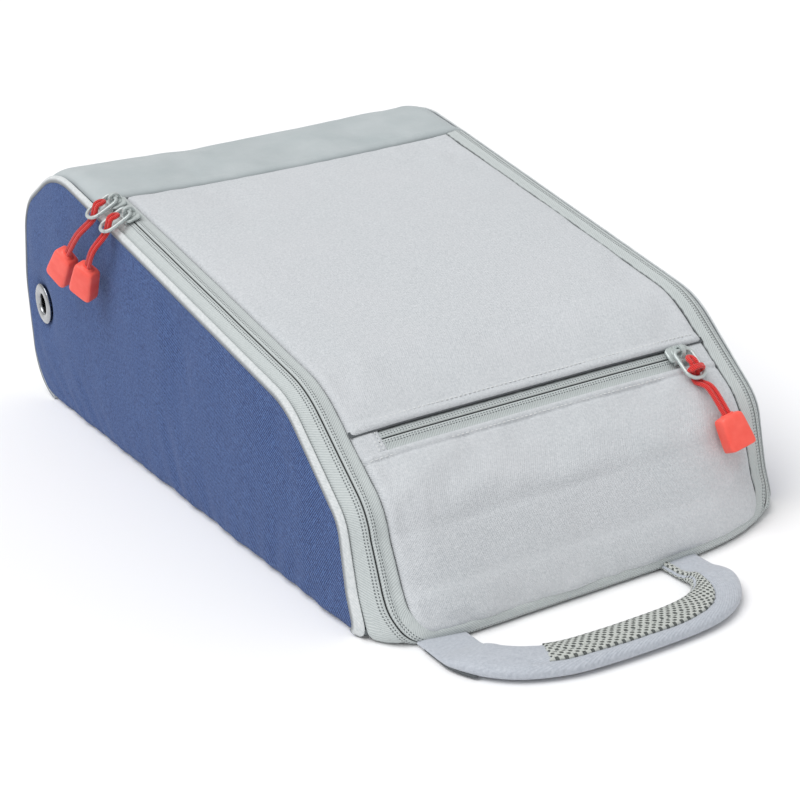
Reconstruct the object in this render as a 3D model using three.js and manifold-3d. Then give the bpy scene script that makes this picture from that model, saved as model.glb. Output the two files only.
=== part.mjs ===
// Golf shoe bag lying on its back: a wedge-shaped zipped bag with a U-shaped main zip, a front pocket and a
// padded carry handle. Millimetres, +Z up, +Y from the low toe end to the tall heel end, X across.
// The origin is on the ground under the middle of the bag.
import * as THREE from "three";
import { mergeVertices } from "three/addons/utils/BufferGeometryUtils.js";
import Module from "manifold-3d";

// ---------------------------------------------------------------- driving dimensions
const HALF_HEEL = 108; // half the width of the base at the heel end
const HALF_TOE = 101; // half the width of the base at the toe end
const TAPER_FROM = -168; // the width grows evenly from here...
const TAPER_LENGTH = 350; // ...over this length
const SIDE_LEAN = 3.2; // how far a side panel leans in over SIDE_HEIGHT
const SIDE_HEIGHT = 119;
const FOAM = 3; // thickness of the side panels
const CLOTH = 2.2; // thickness of the lid and end panels
const SHOULDER = 12; // width over which the top rounds up from the side panels
const HINGE_Y = 70; // the seam where the lid folds back
const GAP = 0.35; // clearance between neighbouring pieces

// A side panel's outline, from under the toe end, over the lid and down the heel end: y, z, corner radius.
const OUTLINE = [
  [-146, 0, 0],
  [-166, 0, 5],
  [-160.8, 17, 25],
  [-157.4, 45, 16],
  [-118, 81, 40],
  [121, 129.5, 60],
  [170.7, 104, 35],
  [182.8, 62, 60],
  [182.8, 0, 26],
  [146, 0, 0],
];

// Insets across the zip, measured in from the side panel.
const BINDING = [0.3, 2.7];
const BODY_TAPE = [3.05, 5];
const BODY_COIL = [5.65, 7.75];
const ZIP_CENTRE = 8.3;
const LID_COIL = [8.85, 11.4];
const LID_TAPE = [11.7, 15.2];
const LID_SEAM = 15.6;
const LID_CORNER = 8; // corner radius of the lid panel at the toe end
const FOOT = 19; // how far along the outline the lid's bottom seam sits

// Stations along the outline, from the lower edge of the pocket zip to the upper fold above it.
const POCKET = {
  lower: 80.6,
  tapeLow: [81, 83.4],
  coilLow: [83.7, 85.8],
  coilHigh: [86.9, 89],
  tapeHigh: [89.3, 91.7],
  upper: 92.1,
};
const POCKET_HALF = 73; // half the length of the pocket zip
const POCKET_DEPTH = 13; // depth of the pocket's back below the lid's surface

// ---------------------------------------------------------------- small maths
const vec = (x, y, z) => new THREE.Vector3(x, y, z);
const clamp = (v, low, high) => Math.min(high, Math.max(low, v));
const mix = (a, b, k) => a + (b - a) * k;
const range = (n) => Array.from({ length: n + 1 }, (_, i) => i / n);

// Linear interpolation of the table (xs, ys) at x.
function table(x, xs, ys) {
  if (x <= xs[0]) return ys[0];
  for (let i = 1; i < xs.length; i++)
    if (x <= xs[i]) return mix(ys[i - 1], ys[i], (x - xs[i - 1]) / (xs[i] - xs[i - 1] || 1));
  return ys[ys.length - 1];
}

// The points of a polyline whose corners are rounded by arcs.
function roundCorners(corners, stepDegrees = 12) {
  const points = [];
  corners.forEach(([y, z, radius], i) => {
    const here = new THREE.Vector2(y, z);
    if (radius === 0) {
      points.push(here);
      return;
    }
    const back = new THREE.Vector2(corners[i - 1][0], corners[i - 1][1]).sub(here).normalize();
    const ahead = new THREE.Vector2(corners[i + 1][0], corners[i + 1][1]).sub(here).normalize();
    const half = Math.acos(clamp(back.dot(ahead), -1, 1)) / 2;
    const middle = back.clone().add(ahead).normalize();
    const centre = here.clone().addScaledVector(middle, radius / Math.sin(half));
    const start = here.clone().addScaledVector(back, radius / Math.tan(half)).sub(centre).angle();
    const end = here.clone().addScaledVector(ahead, radius / Math.tan(half)).sub(centre).angle();
    const turn = THREE.MathUtils.euclideanModulo(end - start + Math.PI, 2 * Math.PI) - Math.PI;
    const steps = Math.max(2, Math.ceil(Math.abs(THREE.MathUtils.radToDeg(turn)) / stepDegrees));
    for (let j = 0; j <= steps; j++) {
      const angle = start + (turn * j) / steps;
      const spoke = new THREE.Vector2(Math.cos(angle), Math.sin(angle));
      points.push(centre.clone().addScaledVector(spoke, radius));
    }
  });
  return points;
}

const RIM = roundCorners(OUTLINE);
const RIM_S = RIM.reduce((sums, p, i) => [...sums, i ? sums[i - 1] + p.distanceTo(RIM[i - 1]) : 0], []);
const RIM_Y = RIM.map((p) => p.x);
const RIM_Z = RIM.map((p) => p.y);
const RIM_END = RIM_S[RIM_S.length - 1];

// The station of the outline point nearest to (y, z).
function stationAt(y, z) {
  let best = 0;
  for (let s = 0; s <= RIM_END; s += 0.5)
    if (
      Math.hypot(table(s, RIM_S, RIM_Y) - y, table(s, RIM_S, RIM_Z) - z) <
      Math.hypot(table(best, RIM_S, RIM_Y) - y, table(best, RIM_S, RIM_Z) - z)
    )
      best = s;
  return best;
}

const TOE_FOOT = stationAt(-166, 0) + 2;
const TOE_TOP = stationAt(-157.4, 38);
const KNEE = stationAt(-118, 78);
const HINGE_S = stationAt(HINGE_Y, 119.15);
const HEEL_TOP = stationAt(121, 127);
const STRIP_START = TOE_FOOT + 1;
const STRIP_END = stationAt(181, 14);
const BAND_FOOT = FOOT + 3.7 - LID_SEAM; // station of the band's outer edge under the toe end

// How far the top stands outside the side outline: the shoulder's rise, and the crown of the middle.
const SHAPE_S = [0, TOE_FOOT, TOE_TOP, KNEE + 10, (KNEE + HINGE_S) / 2, HINGE_S, HEEL_TOP, RIM_END];
// The bag sags to one side, so the toe end is squarer on the left than on the right.
const SHOULDER_RISE = [9.4, 6.2, 6.2, 6.2, 3.2, 3.2];
const CROWN_RISE = [3.9, 0.4, 3.4, -2.2, -2, -2];
const TOE_LEFT = { shoulder: 18.5, crown: 8, power: 10 };
const TOE_RIGHT = { shoulder: 11.4, crown: 15.1, power: 4 };
const CROWN_POWER = 2;

const halfWidth = (y, z) =>
  HALF_TOE +
  (HALF_HEEL - HALF_TOE) * clamp((y - TAPER_FROM) / TAPER_LENGTH, 0, 1) -
  (SIDE_LEAN * z) / SIDE_HEIGHT;

// The outline's point and outward normal at station s.
function rimAt(s) {
  const y = table(s, RIM_S, RIM_Y);
  const z = table(s, RIM_S, RIM_Z);
  const dy = table(s + 2, RIM_S, RIM_Y) - table(s - 2, RIM_S, RIM_Y);
  const dz = table(s + 2, RIM_S, RIM_Z) - table(s - 2, RIM_S, RIM_Z);
  const length = Math.hypot(dy, dz);
  return { y, z, ny: -dz / length, nz: dy / length, half: halfWidth(y, z) };
}

// A point of the bag's top at station s and width x, standing `out` beyond the surface.
function surface(s, x, out = 0) {
  const rim = rimAt(s);
  const inset = clamp(rim.half - Math.abs(x), 0, Infinity);
  const k = clamp(inset / SHOULDER, 0, 1);
  const toe = x < 0 ? TOE_LEFT : TOE_RIGHT;
  const power = table(s, [0, TOE_TOP, KNEE], [toe.power, toe.power, CROWN_POWER]);
  const crown = clamp(1 - Math.abs(x / (rim.half - SHOULDER)) ** power, 0, 1);
  const flat = rim.y > 0 ? clamp(rim.z / 20, 0, 1) : 1; // the heel end stands flat on the ground
  const shoulder = table(s, SHAPE_S, [toe.shoulder, toe.shoulder, ...SHOULDER_RISE]) * (1 - (1 - k) ** 2);
  const rise = flat * (shoulder + table(s, SHAPE_S, [toe.crown, toe.crown, ...CROWN_RISE]) * crown);
  const level = rim.y < 0 ? clamp((30 - rim.z) / 25, 0, 1) : 0; // the toe end bulges level, not downwards
  const dy = rim.ny * (1 - level) - level;
  const dz = rim.nz * (1 - level);
  const length = Math.hypot(dy, dz);
  return vec(x, rim.y + (dy / length) * rise + rim.ny * out, rim.z + (dz / length) * rise + rim.nz * out);
}

// Stations between two stations, close together round the bends and far apart on the straights.
function stations(from, to, longest = 40) {
  const marks = [from, ...RIM_S.filter((s) => s > from + 2 && s < to - 2), to];
  for (const s of SHAPE_S) {
    const apart = marks.every((m) => Math.abs(m - s) >= 4);
    if (s > from + 4 && s < to - 4 && apart) marks.push(s);
  }
  marks.sort((a, b) => a - b);
  return marks.flatMap((s, i) => {
    const next = marks[i + 1];
    const pieces = i + 1 < marks.length ? Math.ceil((next - s) / longest) : 1;
    return i + 1 < marks.length ? range(pieces).slice(0, -1).map((k) => mix(s, next, k)) : [s];
  });
}

// ---------------------------------------------------------------- mesh building
// Joins rings of equal point counts into one closed solid. Ring point i faces point (count - 1 - i).
function loft(rings, closed = false) {
  const count = rings[0].length;
  const index = [];
  const last = closed ? rings.length : rings.length - 1;
  for (let r = 0; r < last; r++)
    for (let i = 0; i < count; i++) {
      const [a, b] = [r * count + i, r * count + ((i + 1) % count)];
      const next = (r + 1) % rings.length;
      const [c, d] = [next * count + i, next * count + ((i + 1) % count)];
      index.push(a, b, d, a, d, c);
    }
  if (!closed)
    for (const [base, flip] of [[0, true], [(rings.length - 1) * count, false]])
      for (let i = 0; i < count / 2 - 1; i++) {
        const quad = [base + i, base + i + 1, base + count - 2 - i, base + count - 1 - i];
        const [a, b, c, d] = flip ? [quad[3], quad[2], quad[1], quad[0]] : quad;
        index.push(a, b, c, a, c, d);
      }
  const geometry = new THREE.BufferGeometry();
  const places = rings.flat().flatMap((p) => [p.x, p.y, p.z]);
  geometry.setAttribute("position", new THREE.Float32BufferAttribute(places, 3));
  geometry.setIndex(index);
  return outwards(geometry);
}

// Turns a closed geometry's faces outwards.
function outwards(geometry) {
  const p = geometry.getAttribute("position");
  const at = (i) => vec(p.getX(i), p.getY(i), p.getZ(i));
  const index = geometry.index.array;
  let volume = 0;
  for (let i = 0; i < index.length; i += 3)
    volume += at(index[i]).dot(at(index[i + 1]).cross(at(index[i + 2])));
  if (volume < 0)
    for (let i = 0; i < index.length; i += 3) [index[i], index[i + 1]] = [index[i + 1], index[i]];
  return geometry;
}

const wasm = await Module();
wasm.setup();

function toSolid(geometry) {
  const bare = geometry.clone();
  bare.deleteAttribute("normal");
  bare.deleteAttribute("uv");
  const merged = mergeVertices(bare, 1e-4);
  return new wasm.Manifold(
    new wasm.Mesh({
      numProp: 3,
      vertProperties: new Float32Array(merged.getAttribute("position").array),
      triVerts: new Uint32Array(merged.index.array),
    }),
  );
}

function toGeometry(solid) {
  const { vertProperties, triVerts } = solid.getMesh();
  const geometry = new THREE.BufferGeometry();
  geometry.setAttribute("position", new THREE.BufferAttribute(vertProperties, 3));
  geometry.setIndex(new THREE.BufferAttribute(triVerts, 1));
  return geometry;
}

const joined = (...geometries) => toGeometry(geometries.map(toSolid).reduce((a, b) => a.add(b)));

const bag = new THREE.Group();

function add(name, geometry, { color, roughness = 0.85, metalness = 0 }) {
  const mesh = new THREE.Mesh(geometry, new THREE.MeshStandardMaterial({ color, roughness, metalness }));
  mesh.name = name;
  bag.add(mesh);
  return mesh;
}

const LOOK = {
  navy: { color: 0x3e5487 },
  heather: { color: 0xd4d8da },
  coated: { color: 0xbac1c3, roughness: 0.55 },
  tape: { color: 0xc8cecc },
  binding: { color: 0xdcdede },
  lining: { color: 0x9aa0a4 },
  board: { color: 0x6d6f72 },
  paint: { color: 0xd9dcd8, roughness: 0.35, metalness: 0.2 },
  nickel: { color: 0x6c6f72, roughness: 0.25, metalness: 1 },
  cord: { color: 0xe62823 },
  rubber: { color: 0xf05a50, roughness: 0.5 },
  handle: { color: 0xc8cdd4 },
  mesh: { color: 0xb9bdb8 },
};

// ---------------------------------------------------------------- sheets over the top of the bag
// Where a sheet's row has its points: at its edges, on the shoulders, and evenly over the middle.
function rowPoints(s, half, columns) {
  const rim = rimAt(s).half;
  const edge = [half, rim - 7.5, rim - SHOULDER].filter((x, i) => i === 0 || x < half - 0.4);
  const inner = edge.pop();
  return [...edge.map((x) => -x), ...range(columns).map((k) => inner * (2 * k - 1)), ...edge.reverse()];
}

// A sheet between two stations and out to halfAt(s) each side, from `under` to `over` beyond the surface.
function sheet(from, to, halfAt, over, under, { columns = 6, extra = [] } = {}) {
  const rows = [...stations(from, to), ...extra].sort((a, b) => a - b);
  return loft(
    rows.map((s) => {
      const across = rowPoints(s, halfAt(s), columns);
      return [
        ...across.map((x) => surface(s, x, over)),
        ...across.reverse().map((x) => surface(s, x, under)),
      ];
    }),
  );
}

// A strip that runs along a station line from x = low to x = high.
function crossStrip([sLow, sHigh], low, high, over, under, steps = 8) {
  return loft(
    range(steps).map((k) => {
      const x = mix(low, high, k);
      return [
        surface(sLow, x, over),
        surface(sHigh, x, over),
        surface(sHigh, x, under),
        surface(sLow, x, under),
      ];
    }),
  );
}

// One edge of the zip's U: down the left leg, round the toe end and up the right leg.
function uLine(inset) {
  const radius = LID_CORNER + LID_SEAM - inset;
  const foot = BAND_FOOT + inset;
  const bend = foot + radius;
  const leg = stations(bend + 4, HINGE_S - GAP);
  const cornerHalf = rimAt(bend).half - inset - radius;
  const left = leg.map((s) => [s, -(rimAt(s).half - inset)]).reverse();
  const corner = range(6).map((k) => [
    bend - radius * Math.sin((k * Math.PI) / 2),
    -(cornerHalf + radius * Math.cos((k * Math.PI) / 2)),
  ]);
  const bottom = range(8).slice(1, -1).map((k) => [foot, mix(-cornerHalf, cornerHalf, k)]);
  const mirror = ([s, x]) => [s, -x];
  return [...left, ...corner, ...bottom, ...corner.map(mirror).reverse(), ...left.map(mirror).reverse()];
}

// A flat ribbon of the U between two insets.
function uRibbon([outer, inner], over, under) {
  const [a, b] = [uLine(outer), uLine(inner)];
  return loft(
    a.map(([s, x], i) => [
      surface(s, x, under),
      surface(s, x, over),
      surface(b[i][0], b[i][1], over),
      surface(b[i][0], b[i][1], under),
    ]),
  );
}

// The cloth that fills a toe corner of the bag, between the zip's rounded corner and the binding.
const GUSSET = { inset: BODY_TAPE[0], gap: 0.4, squareness: 5, from: 0.14 };

function gussetGeometry(side) {
  const radius = LID_CORNER + LID_SEAM - GUSSET.inset;
  const bend = BAND_FOOT + GUSSET.inset + radius;
  const cornerHalf = rimAt(bend).half - GUSSET.inset - radius;
  return loft(range(8).map((k) => {
    const angle = (Math.PI / 2) * mix(GUSSET.from, 1 - GUSSET.from, k);
    const [low, wide] = [Math.sin(angle), Math.cos(angle)];
    const reach = (low ** GUSSET.squareness + wide ** GUSSET.squareness) ** (-1 / GUSSET.squareness);
    const at = (r, out) => surface(bend - r * low, side * (cornerHalf + r * wide), out);
    const [near, far] = [radius + GUSSET.gap, radius * reach];
    const section = [at(near, -0.5), at(far, -0.5), at(far, -1.5), at(near, -1.5)];
    return side > 0 ? section.reverse() : section;
  }));
}

// The lid's half width at station s, rounded at its toe corners.
function lidHalf(s, seam = LID_SEAM, foot = BAND_FOOT + LID_SEAM) {
  const full = rimAt(Math.max(s, foot + LID_CORNER)).half - seam;
  const rise = clamp(s - foot, 0, LID_CORNER);
  return full - LID_CORNER + Math.sqrt(LID_CORNER ** 2 - (LID_CORNER - rise) ** 2);
}

function addLid() {
  const foot = BAND_FOOT + LID_SEAM;
  const cornerRow = (k) => foot + LID_CORNER * (1 - Math.cos((k * Math.PI) / 2));
  const extra = range(6).slice(1, -1).map(cornerRow);
  const fit = (s) => lidHalf(s);
  const inner = (s) => lidHalf(s, LID_SEAM + 4, foot);
  const high = POCKET_HALF;
  add("lid_upper_panel", sheet(POCKET.upper, HINGE_S - GAP, fit, 0, -CLOTH), LOOK.heather);
  add("lid_pocket_panel", sheet(foot + 0.3, POCKET.lower, fit, 0, -CLOTH, { extra }), LOOK.heather);
  add("pocket_zip_tape_lower", crossStrip(POCKET.tapeLow, -high, high, -0.9, -1.9), LOOK.tape);
  add("pocket_zip_coil_lower", crossStrip(POCKET.coilLow, -high, high, -0.5, -2.1), LOOK.tape);
  add("pocket_zip_coil_upper", crossStrip(POCKET.coilHigh, -high, high, -0.5, -2.1), LOOK.tape);
  add("pocket_zip_tape_upper", crossStrip(POCKET.tapeHigh, -high, high, -0.9, -1.9), LOOK.tape);
  const edge = lidHalf(86) - 0.2;
  const tab = [POCKET.lower + GAP, POCKET.upper - GAP];
  add("pocket_zip_tab_left", crossStrip(tab, -edge, -high - GAP, -0.3, -CLOTH, 2), LOOK.tape);
  add("pocket_zip_tab_right", crossStrip(tab, high + GAP, edge, -0.3, -CLOTH, 2), LOOK.tape);
  const back = [foot + 16, POCKET.upper + 6];
  add("pocket_liner", sheet(...back, inner, -POCKET_DEPTH, -POCKET_DEPTH - 1), LOOK.lining);
  add("lid_lining", sheet(POCKET.upper + 8, HINGE_S - 3, inner, -CLOTH - 1, -CLOTH - 1.8), LOOK.lining);
  add("lid_zip_tape", uRibbon(LID_TAPE, -0.5, -1.5), LOOK.tape);
  add("lid_zip_coil", uRibbon(LID_COIL, -0.2, -1.9), LOOK.tape);
}

// ---------------------------------------------------------------- the body
// A flat piece parallel to one side panel: points are [y, z], between two depths inside the panel's face.
function sideSlab(side, points, depthOut, depthIn, hole) {
  const shape = new THREE.Shape(points.map(([y, z]) => new THREE.Vector2(y, z)));
  if (hole) {
    const { y, z, radius } = hole;
    const round = range(20).slice(0, -1).map((k) => {
      const angle = 2 * Math.PI * k;
      return new THREE.Vector2(y + radius * Math.cos(angle), z + radius * Math.sin(angle));
    });
    shape.holes.push(new THREE.Path(round));
  }
  const flat = mergeVertices(
    new THREE.ExtrudeGeometry(shape, { depth: 1, bevelEnabled: false, steps: 1 })
      .deleteAttribute("normal")
      .deleteAttribute("uv"),
  );
  const p = flat.getAttribute("position");
  for (let i = 0; i < p.count; i++) {
    const [y, z, k] = [p.getX(i), p.getY(i), p.getZ(i)];
    p.setXYZ(i, side * (halfWidth(y, z) - mix(depthOut, depthIn, k)), y, z);
  }
  return outwards(flat);
}

// The side outline pulled in by `inset`, and by `floor` where it lies on the ground.
function sideOutline(inset, floor) {
  const sharp = inset > 5 ? TOE_FOOT + 8 : 0; // a deep inset leaves out the tight corner at the toe's foot
  return RIM_S.filter((s) => s > sharp && s < RIM_END).map((s) => {
    const { y, z, ny, nz } = rimAt(s);
    const pull = mix(inset, floor, clamp(-nz, 0, 1) ** 2);
    return [y - ny * pull, z - nz * pull];
  });
}

// A round ring on the side panel, in the panel's plane: radii and depths beyond the panel's face.
function sideRing(side, centre, inner, outer, from, to, steps = 24) {
  const ring = (angle) => {
    const at = (radius, out) => {
      const y = centre.y + radius * Math.cos(angle);
      const z = centre.z + radius * Math.sin(angle);
      return vec(side * (halfWidth(y, z) + out), y, z);
    };
    return [at(inner, from), at(outer, from), at(outer, to), at(inner, to)];
  };
  return loft(range(steps).slice(0, -1).map((k) => ring(k * 2 * Math.PI)), true);
}

const EYELET = { y: 157, z: 54, bore: 5.2, rim: 9.9 };

function addSide(side, name) {
  const hole = { ...EYELET, radius: EYELET.bore + 1.6 };
  add("side_panel_" + name, sideSlab(side, sideOutline(3.2, 0.3), 0, FOAM, hole), LOOK.navy);
  const liningHole = { ...EYELET, radius: EYELET.bore + 6.5 };
  const lining = sideSlab(side, sideOutline(9, 8), FOAM + GAP, FOAM + GAP + 0.8, liningHole);
  add("side_lining_" + name, lining, LOOK.lining);
  add("eyelet_" + name, joined(
    sideRing(side, EYELET, EYELET.bore, EYELET.rim, GAP, 1.6),
    sideRing(side, EYELET, EYELET.bore, EYELET.bore + 1.1, -FOAM - 0.9, 1),
  ), LOOK.nickel);
  const washer = sideRing(side, EYELET, EYELET.bore + 1.5, EYELET.rim - 0.5, -FOAM - 1.4, -FOAM - 0.4);
  add("eyelet_washer_" + name, washer, LOOK.nickel);
  const rows = stations(STRIP_START, STRIP_END);
  const strip = rows.map((s) => {
    const { half } = rimAt(s);
    const x = BINDING.map((inset) => side * (half - inset));
    return [surface(s, x[0], -1.8), surface(s, x[0], 0), surface(s, x[1], 0), surface(s, x[1], -1.8)];
  });
  add("edge_binding_" + name, loft(strip), LOOK.binding);
}

// A level sheet of the base: the toe edge is curved, the heel edge straight.
function baseSheet(toeStation, inset, heelY, low, high) {
  return loft(
    range(12).map((k) => {
      const f = 2 * k - 1;
      const heelHalf = halfWidth(heelY, 0) - inset;
      const toeHalf = rimAt(toeStation).half - inset;
      const toe = surface(toeStation, f * toeHalf);
      return [
        vec(toe.x, toe.y, low),
        vec(f * heelHalf, heelY, low),
        vec(f * heelHalf, heelY, high),
        vec(toe.x, toe.y, high),
      ];
    }),
  );
}

function addBody() {
  add("base_panel", baseSheet(BAND_FOOT + 2.3, FOAM + 0.4, 145.6, 0, 2.2), LOOK.coated);
  add("base_board", baseSheet(BAND_FOOT - 6, FOAM + 3, 140, 2.6, 4.4), LOOK.board);
  add("base_lining", baseSheet(BAND_FOOT - 6, FOAM + 3, 140, 4.8, 5.6), LOOK.lining);
  const outer = (s) => rimAt(s).half - (s > STRIP_END ? 3.45 : 3.05);
  add("end_panel", sheet(HINGE_S + GAP, RIM_END, outer, 0, -CLOTH), LOOK.coated);
  const inner = (s) => rimAt(s).half - 8;
  add("end_lining", sheet(HINGE_S + 4, RIM_END - 34, inner, -CLOTH - 1, -CLOTH - 1.8), LOOK.lining);
  add("body_zip_tape", uRibbon(BODY_TAPE, -0.5, -1.5), LOOK.tape);
  add("body_zip_coil", uRibbon(BODY_COIL, -0.2, -1.9), LOOK.tape);
  add("toe_gusset_left", gussetGeometry(-1), LOOK.tape);
  add("toe_gusset_right", gussetGeometry(1), LOOK.tape);
}

// ---------------------------------------------------------------- sliders and pulls
// A frame on the surface: `along` the zip, `across` it towards +X, and `up` away from the bag.
function frameOn(s, xAt, alongSign) {
  const point = surface(s, xAt(s));
  const [ahead, behind] = [s + 4, s - 4].map((near) => surface(near, xAt(near)));
  const along = ahead.sub(behind).multiplyScalar(alongSign).normalize();
  const up = vec(1, 0, 0).cross(along).normalize();
  if (up.z < 0) up.negate();
  const side = along.clone().cross(up).normalize();
  return new THREE.Matrix4().makeBasis(side, along, up).setPosition(point);
}

function box(size, centre) {
  return new THREE.BoxGeometry(...size).translate(...centre);
}

// A slider in its own frame: Y along the zip, X across towards the lid side, Z up, with its bridge across the zip.
const SLIDER = { length: 12, width: 8.2, plate: [1, 2.4], axis: 4.2 };

function sliderGeometry(lidSide, tilt) {
  const [low, high] = SLIDER.plate;
  const plate = new THREE.Shape();
  const [w, l] = [SLIDER.width / 2, SLIDER.length / 2];
  plate.moveTo(-w * 0.55, -l);
  plate.lineTo(w * 0.55, -l);
  plate.quadraticCurveTo(w, -l * 0.5, w, 0);
  plate.quadraticCurveTo(w, l * 0.8, w * 0.4, l);
  plate.lineTo(-w * 0.4, l);
  plate.quadraticCurveTo(-w, l * 0.8, -w, 0);
  plate.quadraticCurveTo(-w, -l * 0.5, -w * 0.55, -l);
  const top = new THREE.ExtrudeGeometry(plate, { depth: high - low, bevelEnabled: false, curveSegments: 4 });
  top.translate(0, 0, low);
  const under = box([3.4, SLIDER.length * 0.8, 0.9], [lidSide * 1.75, 0, -2.9]);
  const blade = box([0.36, SLIDER.length * 0.6, low + 3.2], [0, 0, (low - 3) / 2]);
  const leg = [1, 1.6, 3.9];
  const outside = [
    top,
    box(leg, [-2.3, 0, high + 1.7]),
    box(leg, [2.3, 0, high + 1.7]),
    box([5.6, 1.6, 1], [0, 0, high + 3.9]),
  ].map((piece) => piece.rotateY(tilt));
  return joined(under, blade, ...outside);
}

// A round wire along a closed or open path of points.
function tube(points, radius, sides = 8, closed = false, perPoint = 1) {
  const curve = new THREE.CatmullRomCurve3(points, closed, "centripetal");
  const section = new THREE.Shape(range(sides).slice(0, -1).map((k) => {
    return new THREE.Vector2(radius * Math.cos(2 * Math.PI * k), radius * Math.sin(2 * Math.PI * k));
  }));
  const steps = points.length * perPoint;
  return new THREE.ExtrudeGeometry(section, { steps, extrudePath: curve, bevelEnabled: false });
}

const RING = { wire: 0.85, half: 4.3, length: 15 };

// The puller ring in the pull's frame: X outwards from the bridge, Y along the bridge's axis, Z up.
function ringGeometry(matrix) {
  const radius = RING.half;
  const points = [];
  for (const k of range(6)) {
    const angle = Math.PI / 2 - Math.PI * k;
    points.push(vec(RING.length - radius + radius * Math.cos(angle), radius * Math.sin(angle), 0));
  }
  for (const [x, y] of [[5, -4.3], [1.6, -4.1], [0.15, -2.6], [0, 0], [0.15, 2.6], [1.6, 4.1], [5, 4.3]])
    points.push(vec(x, y, 0));
  const placed = points.map((p) => p.applyMatrix4(matrix));
  const section = 8;
  const count = placed.length;
  const up = new THREE.Vector3().setFromMatrixColumn(matrix, 2);
  return loft(placed.map((p, i) => {
    const ahead = placed[(i + 1) % count].clone().sub(placed[(i + count - 1) % count]).normalize();
    const out = ahead.clone().cross(up).normalize();
    return range(section).slice(0, -1).map((k) =>
      p.clone()
        .addScaledVector(out, RING.wire * Math.cos(2 * Math.PI * k))
        .addScaledVector(up, RING.wire * Math.sin(2 * Math.PI * k)));
  }), true);
}

const CORD_RADIUS = 1;
const CORD_SPREAD = 1.2; // half the distance between the cord's two strands

// The cord's doubled loop: out of the rubber end, under the ring's far bar, up through it, and back.
function cordGeometry(matrix, ways) {
  const strand = (sign) => [
    vec(6.2, sign * CORD_SPREAD, 1.9),
    vec(8.8, sign * CORD_SPREAD, 2.2),
    vec(11.4, sign * CORD_SPREAD, -0.2),
    vec(14.6, sign * CORD_SPREAD, -2.75),
  ].map((p) => p.applyMatrix4(matrix));
  const across = new THREE.Vector3().setFromMatrixColumn(matrix, 1);
  const beyond = (sign) => ways.map((p) => p.clone().addScaledVector(across, sign * CORD_SPREAD));
  const turn = vec(4.9, 0, 1.3).applyMatrix4(matrix);
  const points = [...beyond(1).reverse(), ...strand(1).reverse(), turn, ...strand(-1), ...beyond(-1)];
  return tube(points, CORD_RADIUS, 6, false, 2);
}

// A soft moulded end: a box with cut corners, from `top` to `bottom`, its broad face towards `face`.
const END = { width: 13, depth: 7, cut: 1.6 };

function endGeometry(top, bottom, face) {
  const down = bottom.clone().sub(top).normalize();
  const out = face.clone().addScaledVector(down, -face.dot(down)).normalize();
  const across = down.clone().cross(out).normalize();
  const ring = (at, scale) => {
    const [w, d, c] = [(END.width / 2) * scale, (END.depth / 2) * scale, END.cut * scale];
    const front = [[w - c, -d], [w, -d + c], [w, d - c], [w - c, d]];
    const corners = [...front, ...front.map(([a, b]) => [-a, b]).reverse()];
    return corners.map(([a, b]) => at.clone().addScaledVector(across, a).addScaledVector(out, b));
  };
  const length = bottom.distanceTo(top);
  const along = (k) => top.clone().addScaledVector(down, length * k);
  return loft([ring(along(0), 0.82), ring(along(0.1), 0.95), ring(along(0.85), 1.04), ring(along(1), 0.86)]);
}

// Everything that hangs on one slider.
function addPull(name, sliderFrame, { lidSide, tilt, outward, ways, endTop, endBottom, face }) {
  const slider = sliderGeometry(lidSide, tilt).applyMatrix4(sliderFrame);
  add(name + "_slider", slider, LOOK.paint);
  const axis = vec(0, 0, SLIDER.axis).applyAxisAngle(vec(0, 1, 0), tilt).applyMatrix4(sliderFrame);
  const along = new THREE.Vector3().setFromMatrixColumn(sliderFrame, 1);
  const out = outward.clone().addScaledVector(along, -outward.dot(along)).normalize();
  const up = out.clone().cross(along).normalize();
  const pull = new THREE.Matrix4().makeBasis(out, along, up);
  if (up.z < 0) pull.makeBasis(out, along.clone().negate(), up.negate());
  pull.setPosition(axis);
  add(name + "_ring", ringGeometry(pull), LOOK.paint);
  add(name + "_cord", cordGeometry(pull, ways), LOOK.cord);
  add(name + "_end", endGeometry(endTop, endBottom, face), LOOK.rubber);
}

const legX = (s) => -(rimAt(s).half - ZIP_CENTRE);

function addMainPulls() {
  const common = { lidSide: 1, tilt: -0.25, outward: vec(-14.5, 0, -8), face: vec(-0.75, -0.6, 0.25) };
  addPull("main_a", frameOn(299, legX, 1), {
    ...common,
    ways: [vec(-112.2, 70, 110.4), vec(-114.64, 80.6, 99.8)],
    endTop: vec(-114.7, 81.05, 99.3),
    endBottom: vec(-116.3, 93.45, 85.7),
  });
  addPull("main_b", frameOn(283, legX, 1), {
    ...common,
    ways: [vec(-112.6, 50, 107.4), vec(-114.07, 55.1, 99.25)],
    endTop: vec(-114.1, 55.5, 98.65),
    endBottom: vec(-114.9, 64.7, 84.45),
  });
}

function addPocketPull() {
  const centre = (POCKET.coilLow[1] + POCKET.coilHigh[0]) / 2;
  const x = 68;
  const point = surface(centre, x);
  const down = surface(centre - 4, x).sub(surface(centre + 4, x)).normalize();
  const up = vec(1, 0, 0).cross(down).normalize();
  if (up.z < 0) up.negate();
  const frame = new THREE.Matrix4().makeBasis(down, vec(1, 0, 0), up).setPosition(point);
  addPull("pocket", frame, {
    lidSide: 0,
    tilt: 0,
    outward: down.clone().addScaledVector(up, 0.06),
    ways: [surface(66.8, 70, 4.8), surface(61, 70.9, 6.5)],
    endTop: surface(60.2, 71.1, 6.8),
    endBottom: surface(51.3, 73.6, 8.6),
    face: surface(55, 73, 10).sub(surface(55, 73)),
  });
}

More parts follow.
